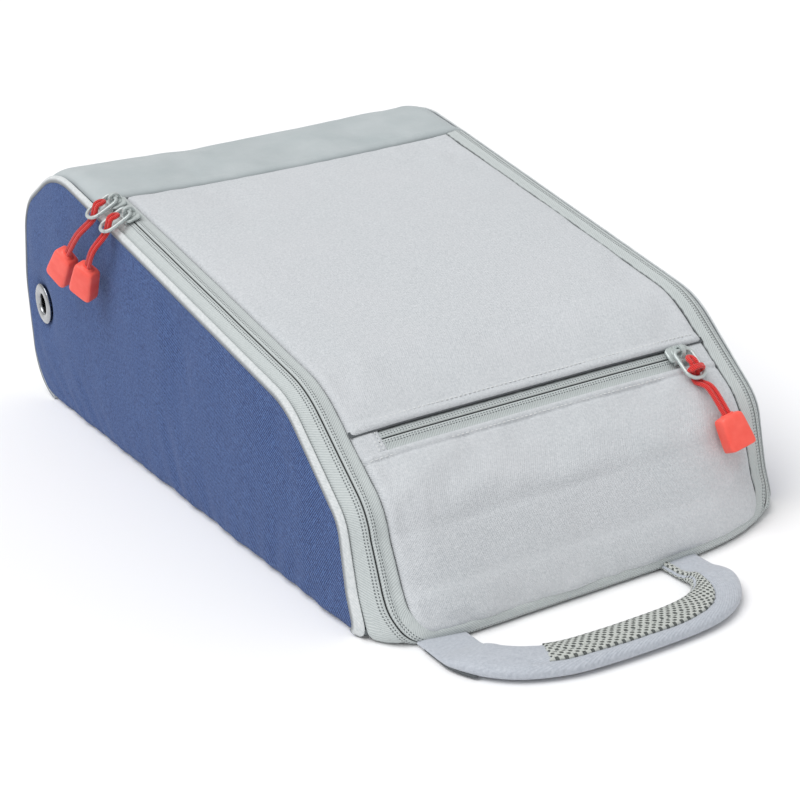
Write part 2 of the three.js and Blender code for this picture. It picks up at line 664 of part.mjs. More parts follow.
// ---------------------------------------------------------------- the carry handle
// The handle lies flat in front of the toe. Each row is a point of its centre line seen from above, from the left
// root round to the right root, then the strap's width and how far the mesh pad reaches beyond the centre line.
const HANDLE = [
  [-75.8, -201.6, 19.5, 5],
  [-75.5, -207, 19.4, 5],
  [-71.8, -215.6, 19.2, 5],
  [-63.3, -224.2, 19.2, 5],
  [-49.8, -230.2, 19.2, 5],
  [-34, -232.2, 19.4, 5],
  [-16, -232.8, 19.6, 5.2],
  [2, -232.4, 19.8, 5.2],
  [15, -229.8, 20, 3.4],
  [25, -224, 19, -1.4],
  [31, -216, 18, -4.6],
  [33.2, -208, 17.5, -4.8],
  [33.5, -201.6, 17.5, -4.8],
];
const HANDLE_STEPS = 28;
const STRAP = { low: 0.5, high: 5.6 };
const PAD = { low: 6.2, high: 7.6, inset: 0.6, first: 10, last: 27 };
const ANCHOR = { front: -200.4, low: 0.4, high: 3.6 };

// Sections across the handle between two heights; `edges` gives the inner and outer edge from the centre line.
function handleRings({ low, high, first = 0, last = HANDLE_STEPS }, edges) {
  const curve = new THREE.CatmullRomCurve3(HANDLE.map(([x, y]) => vec(x, y, 0)), false, "centripetal");
  const rows = HANDLE.map((_, n) => n);
  const rings = [];
  for (let i = first; i <= last; i++) {
    const k = i / HANDLE_STEPS;
    const at = curve.getPoint(k);
    const outside = curve.getTangent(k).cross(vec(0, 0, 1)).normalize();
    const column = (n) => table(k * (HANDLE.length - 1), rows, HANDLE.map((row) => row[n]));
    const [inner, outer] = edges(column(2), column(3));
    const row = (z) => range(4).map((a) => at.clone().addScaledVector(outside, mix(inner, outer, a)).setZ(z));
    rings.push([...row(low), ...row(high).reverse()]);
  }
  return rings;
}

// The webbing that each end of the handle is sewn to, under the toe: its back edge follows the toe's curve.
function anchorGeometry([x, , width]) {
  return loft(range(4).map((k) => {
    const across = x + (k - 0.5) * width;
    const back = Math.min(...range(12).map((m) => surface(mix(8, 20, m), across).y)) - 0.6;
    const { front, low, high } = ANCHOR;
    return [vec(across, back, low), vec(across, front, low), vec(across, front, high), vec(across, back, high)];
  }));
}

function addHandle() {
  const whole = (width) => [-width / 2, width / 2];
  const palm = (width, reach) => [PAD.inset - width / 2, reach];
  add("handle_strap", loft(handleRings(STRAP, whole)), LOOK.handle);
  add("handle_mesh_pad", loft(handleRings(PAD, palm)), LOOK.mesh);
  add("handle_anchor_left", anchorGeometry(HANDLE[0]), LOOK.handle);
  add("handle_anchor_right", anchorGeometry(HANDLE[HANDLE.length - 1]), LOOK.handle);
}

addBody();
addSide(-1, "left");
addSide(1, "right");
addLid();
addMainPulls();
addPocketPull();
addHandle();

export default bag;
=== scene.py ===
"""Golf shoe bag: the looks of every piece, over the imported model.

The cloth panels, zips, pulls and handle are built here as their own meshes, from the same outline as the
model's. Shapes are worked out in millimetres and stored in metres.
"""

import math

import bpy
import numpy as np
from mathutils import Matrix, Vector


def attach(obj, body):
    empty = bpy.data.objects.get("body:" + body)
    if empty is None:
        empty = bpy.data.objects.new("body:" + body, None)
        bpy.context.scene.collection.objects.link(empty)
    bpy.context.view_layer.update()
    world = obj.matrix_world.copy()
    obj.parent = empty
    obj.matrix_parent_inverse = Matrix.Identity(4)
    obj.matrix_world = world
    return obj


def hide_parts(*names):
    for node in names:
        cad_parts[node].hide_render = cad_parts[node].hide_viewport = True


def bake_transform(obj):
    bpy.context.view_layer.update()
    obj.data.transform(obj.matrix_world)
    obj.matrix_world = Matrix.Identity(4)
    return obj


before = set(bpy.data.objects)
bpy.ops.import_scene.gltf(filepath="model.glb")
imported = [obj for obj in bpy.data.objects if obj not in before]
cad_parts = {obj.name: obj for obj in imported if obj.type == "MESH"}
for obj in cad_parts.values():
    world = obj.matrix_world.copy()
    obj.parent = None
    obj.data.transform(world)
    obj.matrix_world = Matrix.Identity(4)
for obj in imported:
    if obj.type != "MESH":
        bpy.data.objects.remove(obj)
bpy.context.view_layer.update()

MM = 0.001
TAU = 2 * math.pi

# ---------------------------------------------------------------- camera
CAMERA = {"place": (-0.3675, -0.7195, 0.3333), "yaw": 27.86, "pitch": 21.14, "roll": -4.23, "lens": 82.0}


def add_camera():
    """The camera stands low in front of the toe end's left corner and is turned a little on its axis."""
    yaw, pitch, roll = (math.radians(CAMERA[k]) for k in ("yaw", "pitch", "roll"))
    ahead = Vector((math.sin(yaw) * math.cos(pitch), math.cos(yaw) * math.cos(pitch), -math.sin(pitch)))
    right = Vector((math.cos(yaw), -math.sin(yaw), 0))
    up = right.cross(ahead)
    turned = [
        right * math.cos(roll) + up * math.sin(roll),
        up * math.cos(roll) - right * math.sin(roll),
        -ahead,
    ]
    camera = bpy.data.objects.new("camera", bpy.data.cameras.new("camera"))
    camera.data.lens = CAMERA["lens"]
    camera.data.sensor_width = 36
    camera.matrix_world = Matrix.Translation(CAMERA["place"]) @ Matrix(turned).transposed().to_4x4()
    bpy.context.scene.collection.objects.link(camera)
    bpy.context.scene.camera = camera


add_camera()

# ---------------------------------------------------------------- the bag's shape, as in the model, in mm
HALF_HEEL = 108  # half the width of the base at the heel end
HALF_TOE = 101  # half the width of the base at the toe end
TAPER_FROM = -168
TAPER_LENGTH = 350
SIDE_LEAN = 3.2  # how far a side panel leans in over SIDE_HEIGHT
SIDE_HEIGHT = 119
SHOULDER = 12  # width over which the top rounds up from the side panels
HINGE_Y = 70  # the seam where the lid folds back
# A side panel's outline, from under the toe end, over the lid and down the heel end: y, z, corner radius.
OUTLINE = [
    (-146, 0, 0),
    (-166, 0, 5),
    (-160.8, 17, 25),
    (-157.4, 45, 16),
    (-118, 81, 40),
    (121, 129.5, 60),
    (170.7, 104, 35),
    (182.8, 62, 60),
    (182.8, 0, 26),
    (146, 0, 0),
]
ZIP_CENTRE = 8.3  # insets from the side panel: the main zip's middle, and the lid's seam
LID_SEAM = 15.6
TAPE_EDGES = {"body": 1.9, "lid": 15.8}  # insets of the outer edges of the main zip's two tapes
LID_CORNER = 8
LID_FOOT = 22.7  # station of the lid's bottom seam
BAND_FOOT = LID_FOOT - LID_SEAM
GROUND = 0.3  # the lowest that cloth is drawn
# Stations of the pocket's edges and zip, and half the zip's length.
POCKET = {"lower": 80.6, "zip": 86.35, "upper": 92.1, "half": 73}
EYELET = {"y": 157, "z": 54, "bore": 5.2, "rim": 9.9}


def round_corners(corners, step=math.radians(3)):
    """The points of a polyline whose corners are rounded by arcs."""
    points = []
    for i, (y, z, radius) in enumerate(corners):
        here = Vector((y, z))
        if radius == 0:
            points.append(here)
            continue
        back = (Vector(corners[i - 1][:2]) - here).normalized()
        ahead = (Vector(corners[i + 1][:2]) - here).normalized()
        half = back.angle(ahead) / 2
        centre = here + (back + ahead).normalized() * (radius / math.sin(half))
        start = here + back * (radius / math.tan(half)) - centre
        end = here + ahead * (radius / math.tan(half)) - centre
        first = math.atan2(start.y, start.x)
        turn = (math.atan2(end.y, end.x) - first + math.pi) % TAU - math.pi
        steps = max(2, math.ceil(abs(turn) / step))
        for j in range(steps + 1):
            angle = first + turn * j / steps
            points.append(centre + Vector((math.cos(angle), math.sin(angle))) * radius)
    return np.array(points)


RIM = round_corners(OUTLINE)
RIM_S = np.concatenate([[0], np.cumsum(np.hypot(*np.diff(RIM, axis=0).T))])
RIM_END = RIM_S[-1]


def station_at(y, z):
    """The station of the outline point nearest to (y, z)."""
    s = np.arange(0, RIM_END, 0.5)
    distance = np.hypot(np.interp(s, RIM_S, RIM[:, 0]) - y, np.interp(s, RIM_S, RIM[:, 1]) - z)
    return float(s[distance.argmin()])


TOE_FOOT = station_at(-166, 0) + 2
TOE_TOP = station_at(-157.4, 38)
KNEE = station_at(-118, 78)
HINGE_S = station_at(HINGE_Y, 119.15)
HEEL_TOP = station_at(121, 127)
# How far the top stands outside the outline: the shoulder's rise, and the crown of the middle. Below TOE_TOP
# both go over to the toe's own figures, which are squarer on the left because the bag sags to one side.
SHAPE_S = [TOE_TOP, KNEE + 10, (KNEE + HINGE_S) / 2, HINGE_S, HEEL_TOP, RIM_END]
SHOULDER_RISE = [9.4, 6.2, 6.2, 6.2, 3.2, 3.2]
CROWN_RISE = [3.9, 0.4, 3.4, -2.2, -2, -2]
TOE_LEFT = {"shoulder": 18.5, "crown": 8, "power": 10}
TOE_RIGHT = {"shoulder": 11.4, "crown": 15.1, "power": 4}


def half_width(y, z):
    """Half the bag's width at the side panel's point (y, z)."""
    grown = (HALF_HEEL - HALF_TOE) * np.clip((y - TAPER_FROM) / TAPER_LENGTH, 0, 1)
    return HALF_TOE + grown - SIDE_LEAN * z / SIDE_HEIGHT


def rim_at(s):
    """y, z, outward normal and half width of the side outline at station s."""
    s = np.asarray(s, dtype=float)
    y, z = (np.interp(s, RIM_S, RIM[:, k]) for k in (0, 1))
    dy, dz = (np.interp(s + 2, RIM_S, RIM[:, k]) - np.interp(s - 2, RIM_S, RIM[:, k]) for k in (0, 1))
    length = np.hypot(dy, dz)
    return y, z, -dz / length, dy / length, half_width(y, z)


def surface(s, x, out=0.0):
    """Points of the bag's top at station s and width x, standing `out` beyond the surface."""
    s, x, out = np.broadcast_arrays(*(np.asarray(v, dtype=float) for v in (s, x, out)))
    y, z, ny, nz, half = rim_at(s)
    inset = np.clip(half - np.abs(x), 0, None)
    k = np.clip(inset / SHOULDER, 0, 1)
    toe = {key: np.where(x < 0, TOE_LEFT[key], TOE_RIGHT[key]) for key in TOE_LEFT}
    above = np.clip((s - TOE_TOP) / (KNEE - TOE_TOP), 0, 1)
    power = toe["power"] + (2 - toe["power"]) * above
    crown = np.clip(1 - np.abs(x / (half - SHOULDER)) ** power, 0, 1)
    flat = np.where(y > 0, np.clip(z / 20, 0, 1), 1)
    below = np.clip((TOE_TOP - s) / (TOE_TOP - TOE_FOOT), 0, 1)
    shoulder = np.interp(s, SHAPE_S, SHOULDER_RISE)
    shoulder += (toe["shoulder"] - shoulder) * below
    middle = np.interp(s, SHAPE_S, CROWN_RISE)
    middle += (toe["crown"] - middle) * below
    rise = shoulder * (1 - (1 - k) ** 2) + middle * crown
    level = np.where(y < 0, np.clip((30 - z) / 25, 0, 1), 0)
    dy, dz = ny * (1 - level) - level, nz * (1 - level)
    length = np.hypot(dy, dz)
    rise = rise * flat / length
    return np.stack([x, y + dy * rise + ny * out, z + dz * rise + nz * out], axis=-1)


def ripple(u, v, wavelength, seed, waves=7):
    """Smooth irregular waves of about one millimetre's height over (u, v)."""
    chance = np.random.default_rng(seed)
    total = 0
    for _ in range(waves):
        angle, phase = chance.uniform(0, TAU, 2)
        length = wavelength * chance.uniform(0.7, 1.7)
        total = total + np.sin(TAU * (u * math.cos(angle) + v * math.sin(angle)) / length + phase)
    return total / waves


def tuck(distance, depth, width):
    """How far cloth sinks at a seam: `depth` at the seam itself, nothing `width` away from it."""
    return -depth * (1 - np.clip(distance / width, 0, 1)) ** 2.2


def unit(vectors):
    """The vectors, each made one long."""
    return vectors / np.linalg.norm(vectors, axis=-1)[..., None]


def distance_along(path):
    """The distance along a path at each of its points."""
    return np.concatenate([[0], np.cumsum(np.linalg.norm(np.diff(path, axis=0), axis=1))])


# ---------------------------------------------------------------- mesh building
def mesh_object(name, points, faces, material, uv=None):
    """A mesh object from points in millimetres; uv holds one (u, v) for each point."""
    mesh = bpy.data.meshes.new(name)
    mesh.from_pydata((np.asarray(points) * MM).tolist(), [], [list(map(int, f)) for f in faces])
    if uv is not None:
        layer = mesh.uv_layers.new(name="cloth")
        corner = np.empty(len(mesh.loops), dtype=np.int32)
        mesh.loops.foreach_get("vertex_index", corner)
        layer.data.foreach_set("uv", np.asarray(uv, dtype=np.float32)[corner].ravel())
    mesh.polygons.foreach_set("use_smooth", [True] * len(mesh.polygons))
    mesh.materials.append(material)
    mesh.update()
    piece = bpy.data.objects.new(name, mesh)
    bpy.context.scene.collection.objects.link(piece)
    return piece


def outward(points, faces):
    """The faces, turned round if they enclose a negative volume."""
    corners = np.asarray(points)[np.asarray(faces)]
    fan = sum(
        np.einsum("ij,ij->i", corners[:, 0], np.cross(corners[:, k], corners[:, k + 1]))
        for k in range(1, corners.shape[1] - 1)
    )
    return [f[::-1] for f in faces] if fan.sum() < 0 else faces


def grid_faces(rows, columns, wrap_rows=False, wrap_columns=False):
    """The quads of a grid of points stored row by row."""
    faces = []
    for i in range(rows if wrap_rows else rows - 1):
        for j in range(columns if wrap_columns else columns - 1):
            here, below = i * columns, ((i + 1) % rows) * columns
            beside = (j + 1) % columns
            faces.append((here + j, here + beside, below + beside, below + j))
    return faces


def lofted(points, sides):
    """Faces over rings of points stored one after another, capped at both ends and facing out."""
    faces = grid_faces(len(points) // sides, sides, wrap_columns=True)
    turned = outward(points, faces) is not faces
    faces += [tuple(range(sides - 1, -1, -1)), tuple(len(points) - sides + i for i in range(sides))]
    return [f[::-1] for f in faces] if turned else faces


def shell(name, top, bottom, uv, material, hole=None):
    """A closed shell between two grids of points. Quads whose corners are all in hole are left out."""
    rows, columns = top.shape[:2]
    count = rows * columns
    cells = grid_faces(rows, columns)
    if hole is not None:
        gone = hole.ravel()
        cells = [f for f in cells if not gone[list(f)].all()]
    edges = {}
    for a, b, c, d in cells:
        for edge in ((a, b), (b, c), (c, d), (d, a)):
            edges[edge] = True
    rim = [(a, b) for a, b in edges if (b, a) not in edges]
    faces = list(cells)
    faces += [tuple(i + count for i in reversed(f)) for f in cells]
    faces += [(b, a, a + count, b + count) for a, b in rim]
    points = np.concatenate([top.reshape(-1, 3), bottom.reshape(-1, 3)])
    uv = np.concatenate([uv.reshape(-1, 2)] * 2)
    used = np.unique(np.array(faces))
    place = np.zeros(len(points), dtype=int)
    place[used] = np.arange(len(used))
    faces = [tuple(place[list(f)]) for f in faces]
    return mesh_object(name, points[used], outward(points[used], faces), material, uv[used])


def strip(name, s, x, relief, thick, uv, material):
    """A thin cloth strip over the bag's top, kept off the ground; uv holds a pair of grids."""
    top, bottom = surface(s, x, relief), surface(s, x, relief - thick)
    for grid in (top, bottom):
        grid[..., 2] = np.maximum(grid[..., 2], GROUND)
    return shell(name, top, bottom, np.stack(uv, axis=-1), material)


def frames_along(path):
    """Tangents and two steady normals along a path of points."""
    ahead = unit(np.gradient(path, axis=0))
    side = np.cross(ahead[0], (0.31, 0.52, 0.8))
    sides = []
    for t in ahead:
        side = side - t * side.dot(t)
        side = side / np.linalg.norm(side)
        sides.append(side)
    sides = np.array(sides)
    return ahead, sides, np.cross(ahead, sides)


def smooth_path(points, step):
    """A smooth curve through the points, sampled about every `step` millimetres."""
    points = np.asarray(points, dtype=float)
    padded = np.vstack([2 * points[0] - points[1], points, 2 * points[-1] - points[-2]])
    out = []
    for a, b, c, d in zip(padded, padded[1:], padded[2:], padded[3:]):
        count = max(2, int(np.linalg.norm(c - b) / step))
        for t in np.arange(count) / count:
            bend = (2 * a - 5 * b + 4 * c - d) * t**2 + (3 * b - a - 3 * c + d) * t**3
            out.append(0.5 * (2 * b + (c - a) * t + bend))
    return np.array(out + [points[-1]])


def tube(name, path, radius, material, sides=16, closed=False, relief=None):
    """A round tube along a path, narrowed at its two ends. relief(around, along) scales the radius."""
    ahead, side, other = frames_along(path)
    if closed:  # the path's last point comes before its first
        ahead = unit(np.roll(path, -1, axis=0) - np.roll(path, 1, axis=0))
        normal = np.cross(path[1] - path[0], path[len(path) // 3] - path[0])
        other = np.tile(normal / np.linalg.norm(normal), (len(path), 1))
        side = np.cross(other, ahead)
    along = distance_along(path)
    around = np.arange(sides) / sides * TAU
    scale = np.ones((len(path), sides))
    if relief:
        scale = relief(around[None, :], along[:, None])
    if not closed:
        scale[0] *= 0.6
        scale[-1] *= 0.6
    ring = np.cos(around)[None, :, None] * side[:, None] + np.sin(around)[None, :, None] * other[:, None]
    points = path[:, None] + ring * radius * scale[..., None]
    uv = np.stack(np.broadcast_arrays(around[None] * radius, along[:, None]), axis=-1)
    flat = points.reshape(-1, 3)
    if closed:
        faces = outward(flat, grid_faces(len(path), sides, wrap_rows=True, wrap_columns=True))
    else:
        faces = lofted(flat, sides)
    return mesh_object(name, flat, faces, material, uv.reshape(-1, 2))


# ---------------------------------------------------------------- materials
class Surface:
    """A node material with short calls for the nodes that the cloths, metals and mouldings need."""

    def __init__(self, name, roughness, metallic=0.0, sheen=0.0, coat=0.0):
        self.material = bpy.data.materials.new(name)
        self.material.use_nodes = True
        self.tree = self.material.node_tree
        self.shader = self.tree.nodes["Principled BSDF"]
        self.shader.inputs["Roughness"].default_value = roughness
        self.shader.inputs["Metallic"].default_value = metallic
        self.shader.inputs["Sheen Weight"].default_value = sheen
        self.shader.inputs["Sheen Roughness"].default_value = 0.5
        self.shader.inputs["Coat Weight"].default_value = coat
        place = self.tree.nodes.new("ShaderNodeTexCoord")
        split = self.tree.nodes.new("ShaderNodeSeparateXYZ")
        self.link(place.outputs["UV"], split.inputs[0])
        self.u, self.v = split.outputs["X"], split.outputs["Y"]
        self.place = place.outputs["Object"]

    def link(self, source, target):
        self.tree.links.new(source, target)

    def math(self, operation, a, b=None):
        node = self.tree.nodes.new("ShaderNodeMath")
        node.operation = operation
        for socket, value in zip(node.inputs, (a, b)):
            if value is None:
                continue
            if isinstance(value, (int, float)):
                socket.default_value = value
            else:
                self.link(value, socket)
        return node.outputs[0]

    def noise(self, size_mm, detail=3, rough=0.55, stretch=(1, 1, 1)):
        """Noise whose features are about size_mm across, from 0 to 1."""
        mapping = self.tree.nodes.new("ShaderNodeMapping")
        mapping.inputs["Scale"].default_value = stretch
        self.link(self.place, mapping.inputs["Vector"])
        node = self.tree.nodes.new("ShaderNodeTexNoise")
        node.inputs["Scale"].default_value = 1000 / size_mm
        node.inputs["Detail"].default_value = detail
        node.inputs["Roughness"].default_value = rough
        self.link(mapping.outputs[0], node.inputs["Vector"])
        return node.outputs["Fac"]

    def wave(self, phase_mm, pitch_mm):
        """A sine, from -1 to 1, of a distance in millimetres."""
        return self.math("SINE", self.math("MULTIPLY", phase_mm, TAU / pitch_mm))

    def twill(self, pitch, slant=1.0):
        return self.wave(self.math("ADD", self.u, self.math("MULTIPLY", self.v, slant)), pitch)

    def weave(self, pitch):
        """A plain weave's over and under, from -1 to 1."""
        return self.math("MULTIPLY", self.wave(self.u, pitch), self.wave(self.v, pitch))

    def mix(self, factor, low, high):
        """A colour between low and high; each is a colour or a socket."""
        node = self.tree.nodes.new("ShaderNodeMix")
        node.data_type = "RGBA"
        sockets = {"Factor": node.inputs[0], "A": node.inputs[6], "B": node.inputs[7]}
        for key, value in (("Factor", factor), ("A", low), ("B", high)):
            if isinstance(value, tuple):
                sockets[key].default_value = (*linear(value), 1)
            elif isinstance(value, (int, float)):
                sockets[key].default_value = value
            else:
                self.link(value, sockets[key])
        return node.outputs[2]

    def fit(self, value, low, high):
        """value mapped so that low becomes 0 and high becomes 1, and clamped."""
        node = self.tree.nodes.new("ShaderNodeMapRange")
        node.inputs["From Min"].default_value = low
        node.inputs["From Max"].default_value = high
        self.link(value, node.inputs["Value"])
        return node.outputs[0]

    def mottle(self, size_mm, low, high, **noise):
        """Cloudy patches about size_mm across, between two colours."""
        return self.mix(self.fit(self.noise(size_mm, **noise), 0.3, 0.7), low, high)

    def colour(self, socket):
        if isinstance(socket, tuple):
            self.shader.inputs["Base Color"].default_value = (*linear(socket), 1)
        else:
            self.link(socket, self.shader.inputs["Base Color"])

    def roughness(self, socket):
        self.link(socket, self.shader.inputs["Roughness"])

    def bump(self, *layers):
        """layers of (height socket, depth in millimetres), one over the other."""
        normal = None
        for height, depth in layers:
            node = self.tree.nodes.new("ShaderNodeBump")
            node.inputs["Distance"].default_value = depth * MM
            self.link(height, node.inputs["Height"])
            if normal:
                self.link(normal, node.inputs["Normal"])
            normal = node.outputs[0]
        self.link(normal, self.shader.inputs["Normal"])
        return self.material


def linear(colour):
    """A colour in sRGB steps of 0 to 255, as linear light."""
    return tuple((c / 255 / 12.92) if c < 10.3 else ((c / 255 + 0.055) / 1.055) ** 2.4 for c in colour)


def heather_cloth():
    m = Surface("heather_cloth", roughness=0.92, sheen=0.12)
    base = m.mottle(1.0, (182, 187, 191), (211, 214, 217), detail=4, rough=0.8)
    patches = m.fit(m.noise(38, detail=2), 0.3, 0.7)
    m.colour(m.mix(m.math("MULTIPLY", patches, 0.3), base, (203, 204, 208)))
    return m.bump((m.weave(0.9), 0.06), (m.noise(1.4, detail=4, rough=0.7), 0.3), (m.noise(9), 0.25))


def navy_cloth():
    m = Surface("navy_cloth", roughness=0.9, sheen=0.12)
    m.shader.inputs["Sheen Tint"].default_value = (0.6, 0.7, 1, 1)
    flecks = m.math("MULTIPLY", m.noise(1.1, detail=5, rough=0.85), 4.0)
    rib = m.fit(m.math("ADD", m.math("MULTIPLY", m.twill(1.15, 0.8), 0.5), flecks), 1.5, 2.5)
    patches = m.fit(m.noise(26, detail=3), 0.3, 0.7)
    base = m.mix(rib, (20, 40, 92), (84, 114, 168))
    m.colour(m.mix(m.math("MULTIPLY", patches, 0.25), base, (60, 86, 138)))
    return m.bump((rib, 0.2), (m.noise(6), 0.25))


def coated_cloth():
    m = Surface("coated_cloth", roughness=0.6, sheen=0.05)
    m.colour(m.mottle(24, (168, 177, 179), (180, 187, 189), detail=4))
    m.roughness(m.math("ADD", 0.5, m.math("MULTIPLY", m.noise(14), 0.2)))
    return m.bump((m.weave(0.8), 0.03), (m.noise(3.5, detail=5), 0.12), (m.noise(22), 0.5))


def binding_cloth():
    """u is the distance from the bag's edge: at each side, where the strip is sewn down, its colour is
    darkened as painted shade in the seam.
    """
    m = Surface("binding_cloth", roughness=0.85, sheen=0.1)
    base = m.mottle(1.6, (196, 201, 202), (214, 217, 218), detail=4)
    # seam: painted shade, darkening both sewn edges of the strip where shade falls in the seams
    seam = m.math("ADD", m.fit(m.u, 0.1, -0.25), m.fit(m.u, 1.85, 2.1))
    m.colour(m.mix(m.math("MULTIPLY", seam, 0.7), base, (70, 76, 84)))
    return m.bump((m.twill(0.8, 0.5), 0.05), (m.noise(4), 0.15))


def zip_cloth(name, dark_above, dark_below, pitch=1.3):
    """Tape over a coil: u is the distance from the zip's centre line, v the distance along it.

    The tape's colour is darkened as painted shadow beyond dark_above on one side and beyond -dark_below on
    the other.
    """
    m = Surface(name, roughness=0.85, sheen=0.08)
    away = m.math("ABSOLUTE", m.u)
    slot = m.math("LESS_THAN", m.wave(m.v, pitch), 0.1)
    near = lambda at: m.math("LESS_THAN", m.math("ABSOLUTE", m.math("SUBTRACT", away, at)), 0.2)
    rows = [near(1.3), near(2.2)]
    dots = m.math("MULTIPLY", slot, m.math("ADD", *rows))
    herring = m.math("ADD", m.math("MULTIPLY", away, 0.9), m.v)
    rib = m.fit(m.wave(herring, 1.15), -1, 1)
    base = m.mix(m.math("MULTIPLY", m.noise(2), rib), (180, 187, 187), (206, 211, 210))
    # lip: painted shade, a near-black line down the zip's middle where shade falls between the two tapes'
    # edges
    lip = m.fit(away, 0.38, 0.15)
    base = m.mix(lip, base, (34, 37, 39))
    # the painted shadow's edge, made wavy with noise
    shade_edge = m.math("ADD", m.u, m.math("MULTIPLY", m.math("SUBTRACT", m.noise(3), 0.5), 0.9))
    high = m.fit(shade_edge, dark_above - 0.75, dark_above - 0.25)
    shade = m.math("ADD", high, m.fit(m.u, 0.25 - dark_below, -dark_below))
    base = m.mix(m.math("MULTIPLY", shade, 0.85), base, (46, 50, 53))
    m.colour(m.mix(m.math("MULTIPLY", dots, 0.8), base, (66, 72, 76)))
    return m.bump((m.math("SUBTRACT", rib, m.math("MULTIPLY", dots, 2)), 0.12), (m.noise(1.2), 0.1))


def coil_plastic():
    m = Surface("coil_plastic", roughness=0.45)
    m.colour(m.mix(m.noise(3), (120, 125, 126), (160, 165, 165)))
    return m.bump((m.noise(1), 0.03))


def painted_metal():
    m = Surface("painted_metal", roughness=0.32, metallic=0.25, coat=0.4)
    worn = m.fit(m.noise(1.6, detail=5, rough=0.7), 0.56, 0.66)
    m.colour(m.mix(worn, (184, 192, 191), (150, 157, 156)))
    m.roughness(m.math("ADD", 0.26, m.math("MULTIPLY", m.noise(2), 0.2)))
    return m.bump((m.noise(1.1), 0.03))


def dark_nickel():
    m = Surface("dark_nickel", roughness=0.22, metallic=1.0)
    m.colour(m.mix(m.noise(4), (150, 152, 156), (188, 190, 192)))
    m.roughness(m.math("ADD", 0.12, m.math("MULTIPLY", m.noise(1.5, detail=4), 0.25)))
    return m.bump((m.noise(0.8), 0.015))


def red_cord():
    m = Surface("red_cord", roughness=0.75, sheen=0.3)
    over = m.math("MULTIPLY", m.twill(1.3, 1.0), m.twill(1.3, -1.0))
    m.colour(m.mix(m.fit(over, -0.8, 0.4), (170, 16, 16), (244, 44, 36)))
    return m.bump((over, 0.16), (m.noise(0.5), 0.08))


def red_rubber():
    m = Surface("red_rubber", roughness=0.48, coat=0.05)
    m.shader.inputs["Subsurface Weight"].default_value = 0.06
    m.shader.inputs["Subsurface Radius"].default_value = (0.004, 0.001, 0.001)
    m.colour(m.mottle(7, (242, 84, 70), (250, 102, 88)))
    return m.bump((m.noise(0.7, detail=4), 0.05), (m.noise(6), 0.1))


def handle_cloth():
    m = Surface("handle_cloth", roughness=0.8, sheen=0.3)
    m.colour(m.mottle(1.3, (166, 172, 181), (188, 193, 201), detail=4, rough=0.7))
    return m.bump((m.twill(0.9, 0.4), 0.06), (m.noise(1.6, detail=4), 0.15), (m.noise(11), 0.35))


def spacer_mesh():
    """u and v count the net's cells along and across it; the holes sit in two staggered sets."""
    m = Surface("spacer_mesh", roughness=0.7, sheen=0.1)
    hole = m.fit(m.math("MULTIPLY", m.wave(m.u, 1), m.wave(m.v, 1)), 0.12, 0.5)
    strand = m.mix(m.noise(0.9, detail=4), (164, 169, 165), (206, 209, 204))
    # the holes are coloured dark as painted shade in their depth
    m.colour(m.mix(hole, strand, (84, 89, 87)))
    return m.bump((m.math("SUBTRACT", 1, hole), 0.6), (m.noise(0.5, detail=3), 0.2))


def thin_lining():
    m = Surface("thin_lining", roughness=0.7, sheen=0.1)
    m.colour(m.mix(m.noise(12), (142, 148, 153), (156, 162, 166)))
    return m.bump((m.weave(0.7), 0.04), (m.noise(18), 0.6))


def fibre_board():
    m = Surface("fibre_board", roughness=0.8)
    m.colour(m.mix(m.noise(3, detail=5), (98, 101, 104), (122, 124, 126)))
    return m.bump((m.noise(1.5, detail=4), 0.08))


def thread():
    m = Surface("thread", roughness=0.6, sheen=0.2)
    m.colour(m.mix(m.noise(0.7), (196, 200, 201), (232, 233, 233)))
    return m.bump((m.noise(0.4), 0.05))


def shadow_cloth():
    """Dark cloth for painted shade: the folded-under cloth at the bottom of a seam, coloured as the shade
    there.
    """
    m = Surface("shadow_cloth", roughness=0.95)
    m.colour(m.mix(m.noise(2), (66, 70, 73), (96, 100, 103)))
    return m.bump((m.noise(1), 0.1))


HEATHER = heather_cloth()
NAVY = navy_cloth()
COATED = coated_cloth()
BINDING = binding_cloth()
# dark_above and dark_below say where each tape's painted shadow begins, under the lid's edge, the binding and
# the pocket flap
ZIP = zip_cloth("zip_cloth", dark_above=7.5, dark_below=6.3)
POCKET_ZIP = zip_cloth("pocket_zip_cloth", dark_above=4.0, dark_below=5.9)
COIL = coil_plastic()
PAINT = painted_metal()
NICKEL = dark_nickel()
CORD = red_cord()
RUBBER = red_rubber()
HANDLE_CLOTH = handle_cloth()
NET = spacer_mesh()
LINING = thin_lining()
BOARD = fibre_board()
THREAD = thread()
SHADOW = shadow_cloth()


def finish_cad_nodes():
    """The model's own pieces that stay in view, with real materials."""
    looks = {"base_panel": COATED, "base_board": BOARD}
    for name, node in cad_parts.items():
        if "lining" in name or "liner" in name:
            looks[name] = LINING
        if "washer" in name:
            looks[name] = NICKEL
    for name, material in looks.items():
        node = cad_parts[name]
        node.data.materials.clear()
        node.data.materials.append(material)


# ---------------------------------------------------------------- cloth simulation
SLACK = {"rows": 44, "columns": 44, "frames": 18, "cap": 1.5}


def resampled(grid, rows, columns):
    """A grid of values stretched to another number of rows and columns."""
    down = np.linspace(0, grid.shape[0] - 1, rows)
    along = np.linspace(0, grid.shape[1] - 1, columns)
    tall = np.array([np.interp(down, np.arange(grid.shape[0]), column) for column in grid.T]).T
    return np.array([np.interp(along, np.arange(grid.shape[1]), row) for row in tall])


def softened(grid, times):
    """The grid with each value averaged with its neighbours."""
    for _ in range(times):
        wide = np.pad(grid, 1, mode="edge")
        grid = (wide[:-2, 1:-1] + wide[2:, 1:-1] + wide[1:-1, :-2] + wide[1:-1, 2:] + 4 * grid) / 8
    return grid


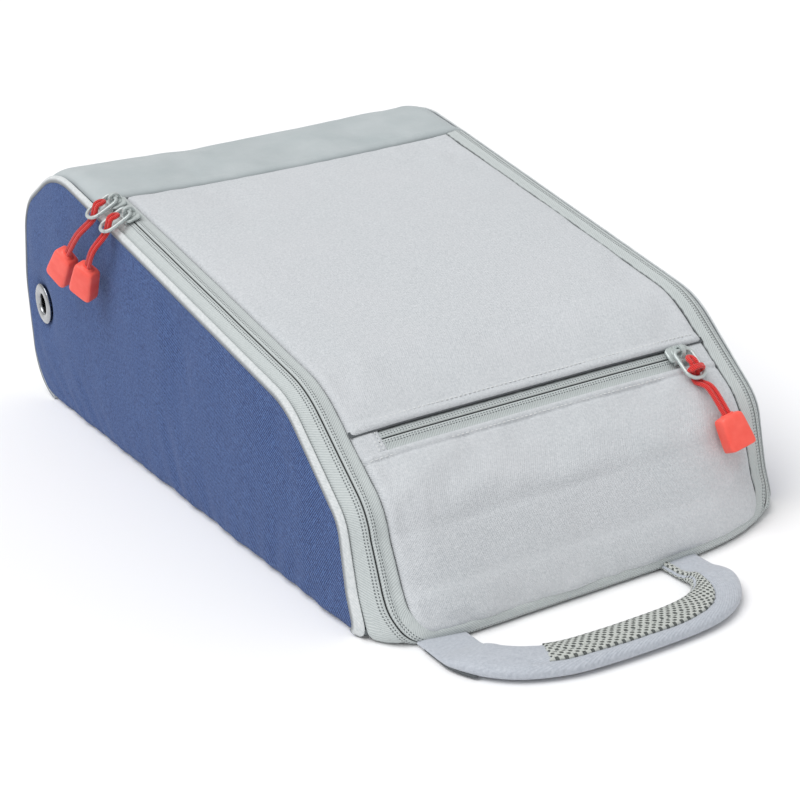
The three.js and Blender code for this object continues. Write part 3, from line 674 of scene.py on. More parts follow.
def slack(points, extra=0.012, stiff=0.6):
    """How far cloth rises from a grid of points when it is cut a little too large and sewn down all round.

    Blender's cloth is run on a coarse copy of the grid with its border pinned, and its rise is read back.
    """
    rows, columns = points.shape[:2]
    pick_rows = np.linspace(0, rows - 1, SLACK["rows"]).round().astype(int)
    pick_columns = np.linspace(0, columns - 1, SLACK["columns"]).round().astype(int)
    coarse = points[pick_rows][:, pick_columns]
    start = coarse + 0.02 * np.sin(np.arange(coarse.size)).reshape(coarse.shape)
    mesh = bpy.data.meshes.new("slack")
    mesh.from_pydata((start.reshape(-1, 3) * MM).tolist(), [], grid_faces(*coarse.shape[:2]))
    cloth = bpy.data.objects.new("slack", mesh)
    bpy.context.scene.collection.objects.link(cloth)
    pins = cloth.vertex_groups.new(name="seam")
    border = np.ones(coarse.shape[:2], dtype=bool)
    border[1:-1, 1:-1] = False
    pins.add(np.flatnonzero(border).tolist(), 1, "REPLACE")
    settings = cloth.modifiers.new("cloth", "CLOTH").settings
    settings.vertex_group_mass = "seam"
    settings.quality = 6
    settings.tension_stiffness = 30
    settings.compression_stiffness = 30
    settings.bending_stiffness = stiff
    settings.shrink_min = -extra
    settings.use_pressure = True
    settings.uniform_pressure_force = 0.4
    settings.effector_weights.gravity = 0
    for step in range(1, SLACK["frames"] + 1):
        bpy.context.scene.frame_set(step)
    ready = cloth.evaluated_get(bpy.context.evaluated_depsgraph_get())
    moved = np.empty(coarse.size)
    ready.data.vertices.foreach_get("co", moved)
    moved = moved.reshape(coarse.shape) / MM
    bpy.data.objects.remove(cloth)
    bpy.context.scene.frame_set(1)
    normal = np.cross(np.gradient(coarse, axis=0), np.gradient(coarse, axis=1))
    normal /= np.linalg.norm(normal, axis=-1)[..., None] + 1e-9
    outside = np.sign((normal * (coarse - (0, 0, 50))).sum())
    rise = ((moved - coarse) * normal).sum(-1) * outside
    rise = SLACK["cap"] * np.tanh(rise / SLACK["cap"])
    return softened(resampled(rise, rows, columns), 6)


# ---------------------------------------------------------------- cloth panels
def lid_half(s, foot=LID_FOOT):
    """The lid's half width at station s, with its toe corners rounded."""
    full = rim_at(np.maximum(s, foot + LID_CORNER))[4] - LID_SEAM
    rise = np.clip(s - foot, 0, LID_CORNER)
    return full - LID_CORNER + np.sqrt(LID_CORNER**2 - (LID_CORNER - rise) ** 2)


def seam_distance(s, x, foot=LID_FOOT):
    """How far a point of the lid is from its side and bottom seams."""
    side = rim_at(np.maximum(s, foot + LID_CORNER))[4] - LID_SEAM - np.abs(x)
    rise = s - foot
    corner = LID_CORNER - np.hypot(LID_CORNER - side, LID_CORNER - rise)
    return np.where((side < LID_CORNER) & (rise < LID_CORNER), corner, np.minimum(side, rise))


def close_to_ends(count, share=0.12):
    """Fractions from 0 to 1 that crowd together at both ends."""
    k = np.linspace(0, 1, count)
    return k - share * np.sin(TAU * k) / math.pi


def panel_grid(first, last, half_at, rows, columns):
    s = first + (last - first) * close_to_ends(rows)
    across = 2 * close_to_ends(columns) - 1
    return np.broadcast_arrays(s[:, None], half_at(s)[:, None] * across[None, :])


def panel(name, s, x, relief, thickness, material):
    """A cloth panel over the top of the bag, with its relief in millimetres beyond the surface."""
    top = surface(s, x, relief)
    bottom = surface(s, x, np.minimum(relief - 0.4, -thickness))
    return shell(name, top, bottom, np.stack([x, s], axis=-1), material)


def add_lid_upper():
    first, last = POCKET["upper"] - 1.4, HINGE_S - 0.5
    s, x = panel_grid(first, last, lid_half, 150, 120)
    seam = np.minimum(seam_distance(s, x), last - s)
    relief = tuck(seam, 1.9, 2.4) + 0.35 * (1 - np.exp(-seam / 6))
    relief += 0.2 * np.exp(-seam / 5) * ripple(x, s, 9, seed=3)
    relief += 0.3 * ripple(x, s, 95, seed=8) + 0.12 * ripple(x, s, 34, seed=12)
    relief += 0.8 * slack(surface(s, x), extra=0.006)
    fold = s - first
    relief += 0.9 * np.exp(-((fold / 5) ** 2)) + tuck(fold, 1.1, 0.9)  # the turned edge above the pocket zip
    relief += -0.3 * np.exp(-(((fold - 5.5) / 0.9) ** 2))  # the edge of the turned cloth shows through
    piece = panel("cloth_lid_upper", s, x, relief, 2.2, HEATHER)
    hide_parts("lid_upper_panel")
    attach(piece, "lid")


def add_flap_fold():
    """The turned-under edge of the flap, a dark strip of painted shade along the whole width above the
    pocket's zip.
    """
    edge = POCKET["upper"]
    s, x = panel_grid(edge - 2.0, edge + 0.6, lambda s: lid_half(s) + 0.2, 8, 120)
    relief = -0.1 + 0.12 * ripple(x, s, 14, seed=17)
    piece = strip("cloth_flap_fold", s, x, relief, 0.4, (x, s), SHADOW)
    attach(piece, "lid")


LID_LIP = 2.4  # how far the lid's cloth rolls over its bottom seam


def add_lid_pocket():
    foot = LID_FOOT - LID_LIP
    first, last = foot + 0.05, POCKET["lower"]
    s, x = panel_grid(first, last, lambda s: lid_half(s, foot), 100, 130)
    seam = seam_distance(s, x, foot)
    relief = tuck(seam, 2.2, 2.6) + 0.4 * (1 - np.exp(-seam / 5))
    near_foot = np.exp(-np.clip(s - foot, 0, None) / 8)
    relief += 0.8 * near_foot * ripple(x, s * 0.3, 12, seed=21)
    relief += 0.16 * np.exp(-seam / 4) * ripple(x, s, 8, seed=4)
    relief += 0.5 * ripple(x, s * 0.4, 60, seed=25) + 0.15 * ripple(x, s, 26, seed=29)
    relief += slack(surface(s, x), extra=0.01)
    top = last - s
    relief += tuck(top, 0.6, 0.8) + 0.45 * np.exp(-(((top - 1.2) / 1.3) ** 2))
    relief += -0.6 * np.exp(-(((top - 3.4) / 0.8) ** 2))
    piece = panel("cloth_lid_pocket", s, x, relief, 2.2, HEATHER)
    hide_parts("lid_pocket_panel")
    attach(piece, "lid")


def add_end():
    first, last = HINGE_S + 0.5, RIM_END
    s, x = panel_grid(first, last, lambda s: rim_at(s)[4] - 3.1, 150, 110)
    side = rim_at(s)[4] - 3.1 - np.abs(x)
    start = s - first
    relief = tuck(side, 1.0, 2.2) + tuck(start, 1.5, 2.6) + 0.5 * np.exp(-(((start - 3.5) / 2.2) ** 2))
    relief += 0.2 * np.exp(-side / 6) * ripple(x, s, 12, seed=41)
    relief += 0.5 * ripple(x, s, 110, seed=44) + 0.2 * ripple(x, s, 40, seed=46)
    relief += 0.8 * slack(surface(s, x), extra=0.008)
    relief = np.where(rim_at(s)[1] < 6, np.minimum(relief, 0), relief)
    piece = panel("cloth_end", s, x, relief, 2.2, COATED)
    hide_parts("end_panel")
    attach(piece, "bag")


def add_hinge_strip():
    """The narrow strip inside the seam, which the lid bends on, in dark cloth as painted shade in the seam's
    gap.
    """
    s, x = panel_grid(HINGE_S - 7, HINGE_S + 7, lambda s: rim_at(s)[4] - 16, 22, 60)
    piece = strip("cloth_hinge", s, x, -1.5, 0.6, (x, s), SHADOW)
    y, z = surface(HINGE_S, 0)[1:] * MM
    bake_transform(piece)


# ---------------------------------------------------------------- side panels
def side_grid(columns=210, rows=52):
    """Points (y, z) of a side panel: straight columns from the ground edge up to the outline."""
    first, last = 12.0, RIM_END - 18
    s = first + (last - first) * np.linspace(0, 1, columns)
    y, z = (np.interp(s, RIM_S, RIM[:, k]) for k in (0, 1))
    ground = y[0] + (y[-1] - y[0]) * np.linspace(0, 1, columns)
    k = close_to_ends(rows, 0.14)[:, None]
    return ground + (y - ground) * k, z[0] + (z - z[0]) * k


def outline_distance(y, z):
    """How far each point is inside the side's outline."""
    line = RIM[(RIM[:, 1] > 0.01)]
    a, b = line[:-1], line[1:]
    points = np.stack([y.ravel(), z.ravel()], axis=-1)[:, None]
    run = b - a
    t = np.clip(((points - a) * run).sum(-1) / (run * run).sum(-1), 0, 1)
    return np.linalg.norm(points - a - t[..., None] * run, axis=-1).min(axis=1).reshape(y.shape)


def add_side(side, name):
    y, z = side_grid()
    edge = outline_distance(y, z)
    ground = np.clip(z, 0, None)
    bulge = 2.6 * (1 - np.exp(-edge / 26)) * (1 - np.exp(-ground / 22))
    seed = 60 + side
    relief = bulge + tuck(edge, 1.6, 3.0) + tuck(ground, 2.2, 5.0)
    relief += 0.22 * np.exp(-edge / 7) * ripple(y, z, 13, seed=seed)
    fade = 1 - np.exp(-edge / 10)
    relief += fade * 0.8 * ripple(y, z * 0.4, 50, seed=seed + 5)
    relief += fade * 0.3 * ripple(y, z * 0.5, 24, seed=seed + 9)
    flat = np.stack([half_width(y, z), y, z], axis=-1)
    relief += fade * slack(flat, extra=0.012, stiff=0.4)
    from_eyelet = np.hypot(y - EYELET["y"], z - EYELET["z"])
    relief *= np.clip((from_eyelet - 10) / 14, 0, 1)
    relief -= 0.9 * np.exp(-((from_eyelet / 13) ** 4))
    hole = from_eyelet < EYELET["rim"] - 0.2
    half = half_width(y, z)
    z = z + 0.3
    top = np.stack([side * (half + relief), y, z], axis=-1)
    bottom = np.stack([side * (half - 3.0), y, z], axis=-1)
    piece = shell("cloth_side_" + name, top, bottom, np.stack([y, z], axis=-1), NAVY, hole=hole)
    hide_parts("side_panel_" + name)
    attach(piece, "bag")


def lathe(name, profile, matrix, material, sides=72):
    """A ring turned from a closed profile of (radius, height) points."""
    profile = np.asarray(profile)
    around = np.arange(sides) / sides * TAU
    points = np.stack(
        np.broadcast_arrays(
            np.cos(around)[:, None] * profile[None, :, 0],
            np.sin(around)[:, None] * profile[None, :, 0],
            profile[None, :, 1],
        ),
        axis=-1,
    ).reshape(-1, 3)
    faces = grid_faces(sides, len(profile), wrap_rows=True, wrap_columns=True)
    points = points @ np.array(matrix.to_3x3()).T + np.array(matrix.translation)
    return mesh_object(name, points, outward(points, faces), material)


def add_eyelet(side, name):
    bore, rim = EYELET["bore"], EYELET["rim"]
    arc = np.linspace(0, math.pi, 9)
    roll = 2.75  # half the width of the ring's rolled front
    crown = [(bore + roll - roll * math.cos(a), 0.75 + 1.15 * math.sin(a)) for a in arc]
    profile = [(bore, -3.6), (bore + 0.6, -3.6), (bore + 0.6, -0.6), (rim, -0.6), (rim, 0.3)] + crown[::-1]
    profile[-1] = (bore, 0.7)
    half = float(half_width(EYELET["y"], EYELET["z"]))
    out = Vector((side, 0, 0.027)).normalized()
    turn = Vector((0, 0, 1)).rotation_difference(out).to_matrix().to_4x4()
    place = Matrix.Translation((side * half, EYELET["y"], EYELET["z"])) @ turn
    piece = lathe("eyelet_ring_" + name, profile, place, NICKEL)
    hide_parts("eyelet_" + name)
    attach(piece, "bag")


def add_binding(side, name):
    """The flat light strip that covers the seam round a side panel."""
    s = np.arange(TOE_FOOT - 4, RIM_END - 14, 1.6)
    inset = np.linspace(-0.25, 2.15, 10)
    s, inset = np.broadcast_arrays(s[:, None], inset[None, :])
    x = rim_at(s)[4] - inset
    k = (inset - 0.95) / 1.2
    relief = 0.9 - 1.5 * np.abs(k) ** 4 + 0.1 * ripple(s, inset * 3, 12, seed=71 + side)
    relief = relief - 0.8 * np.clip(1 - np.abs(rim_at(s)[1]) / 8, 0, 1)
    top = surface(s, side * x, relief)
    top[..., 2] = np.maximum(top[..., 2], GROUND + 0.05)
    bottom = surface(s, side * x, np.minimum(relief - 0.5, -1.6))
    bottom[..., 2] = np.maximum(bottom[..., 2], GROUND)
    piece = shell("binding_strip_" + name, top, bottom, np.stack([inset, s], axis=-1), BINDING)
    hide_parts("edge_binding_" + name)
    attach(piece, "bag")


def add_gusset(side, name):
    """The cloth in a toe corner of the bag, between the zip's rounded corner and the binding."""
    inset, squareness, rows = 2.9, 5, 40
    radius = LID_CORNER + LID_SEAM - inset
    bend = BAND_FOOT + inset + radius
    corner_half = float(rim_at(bend)[4]) - inset - radius
    angle = (math.pi / 2) * np.linspace(0.06, 0.94, rows)[:, None]
    low, wide = np.sin(angle), np.cos(angle)
    reach = (low**squareness + wide**squareness) ** (-1 / squareness)
    k = np.linspace(0, 1, 12)[None, :]
    r = (radius - 0.8) * (1 - k) + (radius * reach + 0.6) * k
    s, x = bend - r * low, corner_half + r * wide
    relief = -0.6 + tuck(k * 12, 0.5, 2) + tuck((1 - k) * 12, 0.9, 2) + 0.15 * ripple(s, x, 9, seed=77)
    piece = strip("cloth_gusset_" + name, s, side * x, relief, 0.9, (0 * x - 4, s), ZIP)  # plain tape cloth
    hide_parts("toe_gusset_" + name)
    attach(piece, "bag")


# ---------------------------------------------------------------- zips
def u_lines(insets, step=1.3):
    """Stations and widths of lines down the zip's left leg, round the toe and up its right leg."""
    insets = np.asarray(insets, dtype=float)
    bend = LID_FOOT + LID_CORNER
    leg = np.arange(HINGE_S - 0.35, bend + 0.1, -step)[:, None]
    radius = LID_CORNER + LID_SEAM - insets[None, :]
    corner_half = rim_at(bend)[4] - LID_SEAM - LID_CORNER
    turn = np.linspace(0, math.pi / 2, 30)[:, None]
    foot = BAND_FOOT + insets[None, :]
    across = np.linspace(-1, 1, int(2 * corner_half / step))[1:-1, None]
    left_s = np.vstack([leg + 0 * radius, bend - radius * np.sin(turn)])
    left_x = -np.vstack([rim_at(leg)[4] - insets[None, :], corner_half + radius * np.cos(turn)])
    s = np.vstack([left_s, foot + 0 * across, left_s[::-1]])
    x = np.vstack([left_x, corner_half * across + 0 * foot, -left_x[::-1]])
    return s, x


def along_of(points):
    """The distance along the rows of a grid of points, measured down its middle column."""
    return distance_along(points[:, points.shape[1] // 2])


def zip_relief(away):
    """The tape's height at a distance from the zip's centre: a hump over the coil and a dip in the middle."""
    hump = 0.75 * np.exp(-((away / 3.1) ** 4))
    return hump - 0.7 * np.exp(-((away / 0.45) ** 2)) - 0.45


def add_main_zip():
    halves = {
        "body": ([1.9, 2.2, 2.7, 3.4, 4.2, 5.0, *np.linspace(5.6, 8.12, 12)], "bag"),
        "lid": ([*np.linspace(8.48, 11, 12), 11.8, 12.8, 13.8, 14.6, 15.2, 15.8], "lid"),
    }
    for name, (insets, body) in halves.items():
        insets = np.array(insets)
        s, x = u_lines(insets)
        away = insets[None, :] - ZIP_CENTRE + 0 * s
        edge = np.abs(insets[None, :] - TAPE_EDGES[name]) + 0 * s
        relief = zip_relief(away) + tuck(edge, 1.1, 1.6)
        relief += 0.1 * ripple(s, x, 18, seed=83)
        top = surface(s, x, relief)
        top[..., 2] = np.maximum(top[..., 2], GROUND)
        along = along_of(top)[:, None] + 0 * away
        piece = strip("zip_tape_" + name, s, x, relief, 0.8, (away, along), ZIP)
        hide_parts(name + "_zip_tape")
        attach(piece, body)
        add_main_teeth(name, body)


TEETH = {"pitch": 1.3, "reach": 2.4, "depth": -1.55, "radius": 0.42}


def teeth(name, centres, across, ahead, out, material):
    """A row of coil loops: a short half-round bar for each loop, lying across the zip under the tape."""
    count = len(centres)
    around = np.arange(8) / 8 * TAU
    points = []
    for k in (-0.5, -0.35, 0.35, 0.5):
        scale = 0.5 if abs(k) == 0.5 else 1.0
        for a in around:
            ring = out * math.cos(a) + ahead * math.sin(a)
            points.append(centres + across * (k * TEETH["reach"]) + ring * TEETH["radius"] * scale)
    points = np.stack(points, axis=1).reshape(-1, 3)
    faces = []
    one = grid_faces(4, 8, wrap_columns=True) + [(7, 6, 5, 4), (7, 4, 3, 0), (3, 2, 1, 0)]
    one += [(24, 25, 26, 27), (24, 27, 28, 31), (28, 29, 30, 31)]
    for i in range(count):
        faces += [tuple(v + 32 * i for v in f) for f in one]
    return mesh_object(name, points, faces, material)


def add_main_teeth(name, body):
    sign = -1 if name == "body" else 1
    insets = ZIP_CENTRE + sign * np.array([0.35, 1.35, 2.35])
    s, x = u_lines(insets, step=0.5)
    grid = surface(s, x, TEETH["depth"])
    grid[..., 2] = np.maximum(grid[..., 2], 0.8)
    along = along_of(grid)
    where = np.arange(2 + (TEETH["pitch"] / 2 if sign > 0 else 0), along[-1] - 2, TEETH["pitch"])
    line = [np.stack([np.interp(where, along, grid[:, j, k]) for k in range(3)], axis=-1) for j in range(3)]
    across = unit(line[2] - line[0])
    ahead = unit(np.gradient(line[1], axis=0))
    out = np.cross(ahead, across)
    piece = teeth("zip_coil_" + name, line[1], across, ahead, out, COIL)
    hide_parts(name + "_zip_coil")
    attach(piece, body)


def add_pocket_zip():
    """The pocket's zip: two tapes with a coil under each."""
    centre, half = POCKET["zip"], POCKET["half"] + 1.5
    x = np.linspace(-half, half, 150)
    spans = {"lower": (POCKET["lower"] - 1.5, centre - 0.2), "upper": (centre + 0.2, POCKET["upper"] + 1.5)}
    for name, (first, last) in spans.items():
        s, xs = np.broadcast_arrays(np.linspace(first, last, 18)[:, None], x[None, :])
        away = s - centre
        relief = zip_relief(away) - 1.1 + 0.08 * ripple(xs, s, 20, seed=91)
        piece = strip("zip_tape_pocket_" + name, s, xs, relief, 0.6, (away, xs), POCKET_ZIP)
        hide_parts("pocket_zip_tape_" + name)
        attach(piece, "lid")
        sign = -1 if name == "lower" else 1
        at = np.arange(-half + 2 + (0.65 if sign > 0 else 0), half - 2, TEETH["pitch"])
        line = surface(centre + sign * 1.35, at, -2.2)
        up = surface(centre + sign * 1.35, at, -1.2) - line
        across = unit(surface(centre + sign * 1.85, at, -2.2) - line)
        ahead = np.cross(across, up)
        coil = teeth("zip_coil_pocket_" + name, line, across, ahead, up, COIL)
        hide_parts("pocket_zip_coil_" + name)
        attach(coil, "lid")


def add_pocket_tabs():
    """The cloth that closes each end of the pocket's zip, with two columns of stitches."""
    for side, name in ((-1, "left"), (1, "right")):
        s = np.linspace(POCKET["lower"] - 0.6, POCKET["upper"] + 0.2, 26)[:, None]
        k = np.linspace(0, 1, 22)[None, :]
        near = POCKET["half"] - 0.5
        far = lid_half(s) + 0.1
        s, x = np.broadcast_arrays(s, near + (far - near) * k)
        relief = -0.55 + tuck(x - near, 0.9, 1.3) + tuck(far - x, 1.2, 2.0)
        relief += 0.12 * ripple(x, s, 9, seed=95 + side)
        relief -= 0.3 * np.exp(-(((x - near - 1.9) / 0.8) ** 2))
        piece = strip("cloth_tab_" + name, s, side * x, relief, 0.8, (x, s), HEATHER)
        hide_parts("pocket_zip_tab_" + name)
        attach(piece, "lid")
        for row in (1.9, 3.5):
            at = np.arange(POCKET["lower"] + 1.2, POCKET["upper"] - 0.6, 1.9)
            stitches(f"stitch_tab_{name}_{row:.0f}", at, side * (near + row) + 0 * at, -0.55, 1.0, True)


def stitches(name, s, x, height, length, along_s=False):
    """A row of single stitches on the lid, each a small bead of thread."""
    step = np.array([0.5, 0]) if along_s else np.array([0, 0.5])
    centre = surface(s, x, height)
    ahead = surface(s + step[0], x + step[1], height) - surface(s - step[0], x - step[1], height)
    ahead = unit(ahead)
    out = surface(s, x, height + 1) - centre
    side = np.cross(ahead, out)
    around = np.arange(6) / 6 * TAU
    points = []
    for k, radius in ((-0.5, 0.1), (-0.32, 0.26), (0.32, 0.26), (0.5, 0.1)):
        for a in around:
            around_it = out * math.sin(a) * 0.8 + side * math.cos(a)
            points.append(centre + ahead * (k * length) + around_it * radius)
    points = np.stack(points, axis=1).reshape(-1, 3)
    one = grid_faces(4, 6, wrap_columns=True) + [(5, 4, 3, 2, 1, 0), (18, 19, 20, 21, 22, 23)]
    faces = [tuple(v + 24 * i for v in f) for i in range(len(s)) for f in one]
    piece = mesh_object(name, points, faces, THREAD)
    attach(piece, "lid")
    return piece


def add_topstitching():
    x = np.arange(-lid_half(77) + 3, lid_half(77) - 3, 2.1)
    stitches("stitch_pocket_edge", POCKET["lower"] - 2.5 + 0 * x, x, 0.3, 1.3)
    x = np.arange(-lid_half(99) + 4, lid_half(99) - 4, 2.1)
    stitches("stitch_flap_edge", POCKET["upper"] + 2.4 + 0 * x, x, 0.85, 1.3)


# ---------------------------------------------------------------- sliders and pulls
SLIDER = {"length": 12, "width": 8.2, "low": 1.0, "high": 2.4, "axis": 4.2}
RING = {"wire": 0.85, "half": 4.3, "length": 15}
CORD_WIDTH = 2.0
CORD_SPREAD = 1.2  # half the distance between the cord's two strands


def leg_x(s):
    return -(rim_at(s)[4] - ZIP_CENTRE)


def leg_frame(s):
    """A frame on the main zip's left leg: X across, Y along the zip towards the hinge, Z up."""
    along = Vector(surface(s + 4, leg_x(s + 4)) - surface(s - 4, leg_x(s - 4))).normalized()
    up = Vector((1, 0, 0)).cross(along).normalized()
    up = up if up.z > 0 else -up
    side = along.cross(up).normalized()
    return Matrix((side, along, up)).transposed().to_4x4(), Vector(surface(s, leg_x(s)))


def pocket_frame(x):
    """A frame on the pocket's zip: X down towards the toe, Y across the bag, Z up."""
    centre = POCKET["zip"]
    down = Vector(surface(centre - 4, x) - surface(centre + 4, x)).normalized()
    up = Vector((1, 0, 0)).cross(down).normalized()
    up = up if up.z > 0 else -up
    return Matrix((down, Vector((1, 0, 0)), up)).transposed().to_4x4(), Vector(surface(centre, x))


def joined(name, parts, material):
    """Several meshes, each (points, faces), as one object."""
    points, faces = [], []
    for part_points, part_faces in parts:
        start = sum(len(p) for p in points)
        points.append(np.asarray(part_points))
        faces += [tuple(int(v) + start for v in f) for f in part_faces]
    return mesh_object(name, np.concatenate(points), faces, material)


def plate_part(outline, low, high, round_by=0.35):
    """A flat plate with softened edges over a closed outline of (x, y) points."""
    outline = np.asarray(outline)
    inner = outline * (1 - round_by / np.abs(outline).max())
    rings = [(inner, low), (outline, low + round_by), (outline, high - round_by), (inner, high)]
    points = np.concatenate([np.column_stack([ring, np.full(len(ring), z)]) for ring, z in rings])
    return points, lofted(points, len(outline))


def slider_outline(grow=1.0):
    w, l = SLIDER["width"] / 2 * grow, SLIDER["length"] / 2 * grow
    right = [(0.55, -1), (0.8, -0.86), (0.95, -0.5), (1, 0), (0.96, 0.4), (0.8, 0.75), (0.5, 0.95), (0.3, 1)]
    return [(w * a, l * b) for a, b in right] + [(-w * a, l * b) for a, b in reversed(right)]


def arch_part(width=6.0, height=4.2, thick=1.7, depth=1.0):
    """The bridge over the slider: a flat bar bent into an arch, its span across the zip."""
    angles = np.linspace(0, math.pi, 15)
    outer = [(width / 2 * math.cos(a), height * math.sin(a) ** 0.7) for a in angles]
    inner = [((width / 2 - depth) * math.cos(a), (height - depth) * math.sin(a) ** 0.7) for a in angles]
    points, faces = [], []
    for (xo, zo), (xi, zi) in zip(outer, inner):
        points += [(xo, -thick / 2, zo), (xo, thick / 2, zo), (xi, thick / 2, zi), (xi, -thick / 2, zi)]
    points = np.array(points) + (0, 0, SLIDER["high"] - 0.3)
    faces = grid_faces(len(angles), 4, wrap_columns=True)
    last = 4 * (len(angles) - 1)
    faces += [(3, 2, 1, 0), (last, last + 1, last + 2, last + 3)]
    return points, outward(points, faces)


def add_slider(name, turn, place, tilt, body):
    top = [
        plate_part(slider_outline(), SLIDER["low"], SLIDER["high"]),
        plate_part(slider_outline(0.62), SLIDER["high"] - 0.1, SLIDER["high"] + 0.5, 0.25),
        arch_part(),
    ]
    lean = Matrix.Rotation(tilt, 3, "Y")
    top = [(np.asarray(p) @ np.array(lean).T, f) for p, f in top]
    lips = []
    for side in (-1, 1):
        lip = [(side * 3.7 + a, b) for a, b in ((-0.35, -4), (0.35, -4), (0.35, 4.4), (-0.35, 4.4))]
        points, faces = plate_part(lip, -0.2, SLIDER["low"] + 0.4, 0.1)
        lips.append((points @ np.array(lean).T, faces))
    blade = plate_part([(-0.18, -3.6), (0.18, -3.6), (0.18, 3.6), (-0.18, 3.6)], -2.9, 1.2, 0.02)
    under = plate_part(slider_outline(0.8), -3.4, -2.6, 0.2)
    piece = joined(name + "_slider_body", top + lips + [blade, under], PAINT)
    piece.data.transform(Matrix.Translation(place * MM) @ turn)
    bevel = piece.modifiers.new("soft edges", "BEVEL")
    bevel.width = 0.12 * MM
    bevel.segments = 2
    bevel.limit_method = "ANGLE"
    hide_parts(name + "_slider")
    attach(piece, body)


def add_ring(name, pull, body):
    """The wire ring, in the pull's frame: X outwards from the bridge, Y along its axis."""
    half, length = RING["half"], RING["length"]
    bend = [(length - half + half * math.sin(a), half * math.cos(a)) for a in np.linspace(0, math.pi, 13)]
    inner = [(5, -half), (1.6, -half + 0.2), (0.15, -2.6), (0, 0), (0.15, 2.6), (1.6, half - 0.2), (5, half)]
    loop = np.array([(x, y, 0) for x, y in bend + inner])
    closed = smooth_path(np.vstack([loop[-1:], loop, loop[:1]]), 0.5)
    first = np.linalg.norm(closed - loop[0], axis=1).argmin()
    path = closed[first:]
    path = path[: np.linalg.norm(path[5:] - loop[0], axis=1).argmin() + 5]
    path = np.array([(pull @ Vector(p)) for p in path])
    piece = tube(name + "_wire_ring", path, RING["wire"], PAINT, sides=18, closed=True)
    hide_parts(name + "_ring")
    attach(piece, body)


def braid(around, along):
    """The relief of a braided cord: strands that cross over one another."""
    strands = 6
    left = np.sin(strands * around + along * TAU / 2.6)
    right = np.sin(strands * around - along * TAU / 2.6)
    return 1 + 0.045 * np.maximum(left, right)


def cord_route(pull, ways):
    """The doubled cord's centre line: up one strand, through the ring and back down the other."""
    strand = lambda sign: [
        Vector((6.2, sign * CORD_SPREAD, 1.9)),
        Vector((8.8, sign * CORD_SPREAD, 2.2)),
        Vector((11.4, sign * CORD_SPREAD, -0.2)),
        Vector((14.6, sign * CORD_SPREAD, -2.75)),
    ]
    across = (pull.to_3x3() @ Vector((0, 1, 0))).normalized()
    beyond = lambda sign: [Vector(p) + across * (sign * CORD_SPREAD) for p in ways]
    left = [pull @ p for p in strand(1)]
    right = [pull @ p for p in strand(-1)]
    turn = pull @ Vector((4.9, 0, 1.3))
    return beyond(1)[::-1] + left[::-1] + [turn] + right + beyond(-1)


def add_cord(name, pull, ways, body):
    path = smooth_path([list(p) for p in cord_route(pull, ways)], 0.35)
    piece = tube(name + "_braided_cord", path, CORD_WIDTH / 2, CORD, sides=20, relief=braid)
    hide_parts(name + "_cord")
    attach(piece, body)


def add_knot(name, pull, body):
    """The knot that holds the doubled cord on the ring: a turn and a half of cord round both strands."""
    turn = np.linspace(-0.4 * math.pi, 2.9 * math.pi, 60)
    x = 10.4 + 1.6 * (turn - turn[0]) / (turn[-1] - turn[0])
    path = np.column_stack([x, 3.5 * np.cos(turn), 0.9 + 2.3 * np.sin(turn)])
    path = np.array([pull @ Vector(p) for p in path])
    piece = tube(name + "_cord_knot", path, CORD_WIDTH / 2 * 0.85, CORD, sides=16, relief=braid)
    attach(piece, body)
    return piece


END = {"width": 13, "depth": 7.4}
# The moulded end from its collar down: the share of its length, and its size there against the full size.
END_PROFILE = [
    (-0.05, 0.34), (-0.05, 0.42), (-0.005, 0.45), (0.0, 0.62), (0.008, 0.72),
    (0.04, 0.8), (0.1, 0.85), (0.2, 0.88), (0.4, 0.92), (0.6, 0.96),
    (0.8, 1.0), (0.92, 1.0), (0.965, 0.97), (0.99, 0.9), (1.0, 0.78),
]


def add_end_piece(name, top, bottom, face, body):
    """The moulded end: a soft block that widens from its collar, with a rounded foot."""
    top, bottom, face = (Vector(v) for v in (top, bottom, face))
    down = (bottom - top).normalized()
    out = (face - down * face.dot(down)).normalized()
    across = down.cross(out).normalized()
    length = (bottom - top).length
    sides = 40
    around = np.arange(sides) / sides * TAU
    rings = []
    for k, scale in END_PROFILE:
        power = 2 / (2.4 + 4.0 * min(max(k, 0) * 40, 1))
        a = np.sign(np.cos(around)) * np.abs(np.cos(around)) ** power * END["width"] / 2 * scale
        b = np.sign(np.sin(around)) * np.abs(np.sin(around)) ** power * END["depth"] / 2
        b = b * min(1, scale + 0.12)
        centre = np.array(top + down * (length * k))
        rings.append(centre + a[:, None] * np.array(across) + b[:, None] * np.array(out))
    points = np.concatenate(rings)
    piece = mesh_object(name + "_moulded_end", points, lofted(points, sides), RUBBER)
    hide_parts(name + "_end")
    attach(piece, body)
    return piece


def add_pull(name, frame_on, tilt, outward_way, ways, end_top, end_bottom, face, knotted=False):
    """A slider with its ring, cord and moulded end; ways are points that the cord hangs through."""
    turn, place = frame_on
    add_slider(name, turn, place, tilt, name + "_slider_body")
    body = name + "_pull"
    axis = place + turn.to_3x3() @ (Matrix.Rotation(tilt, 3, "Y") @ Vector((0, 0, SLIDER["axis"])))
    along = (turn.to_3x3() @ Vector((0, 1, 0))).normalized()
    out = (Vector(outward_way) - along * Vector(outward_way).dot(along)).normalized()
    up = out.cross(along).normalized()
    if up.z < 0:
        along, up = -along, -up
    pull = Matrix.Translation(axis) @ Matrix((out, along, up)).transposed().to_4x4()
    add_ring(name, pull, body)
    pieces = [add_end_piece(name, end_top, end_bottom, face, body)]
    if knotted:
        pieces.append(add_knot(name, pull, body))
    inside = Vector(end_top) + (Vector(end_bottom) - Vector(end_top)).normalized() * 2
    add_cord(name, pull, [*ways, inside], body)


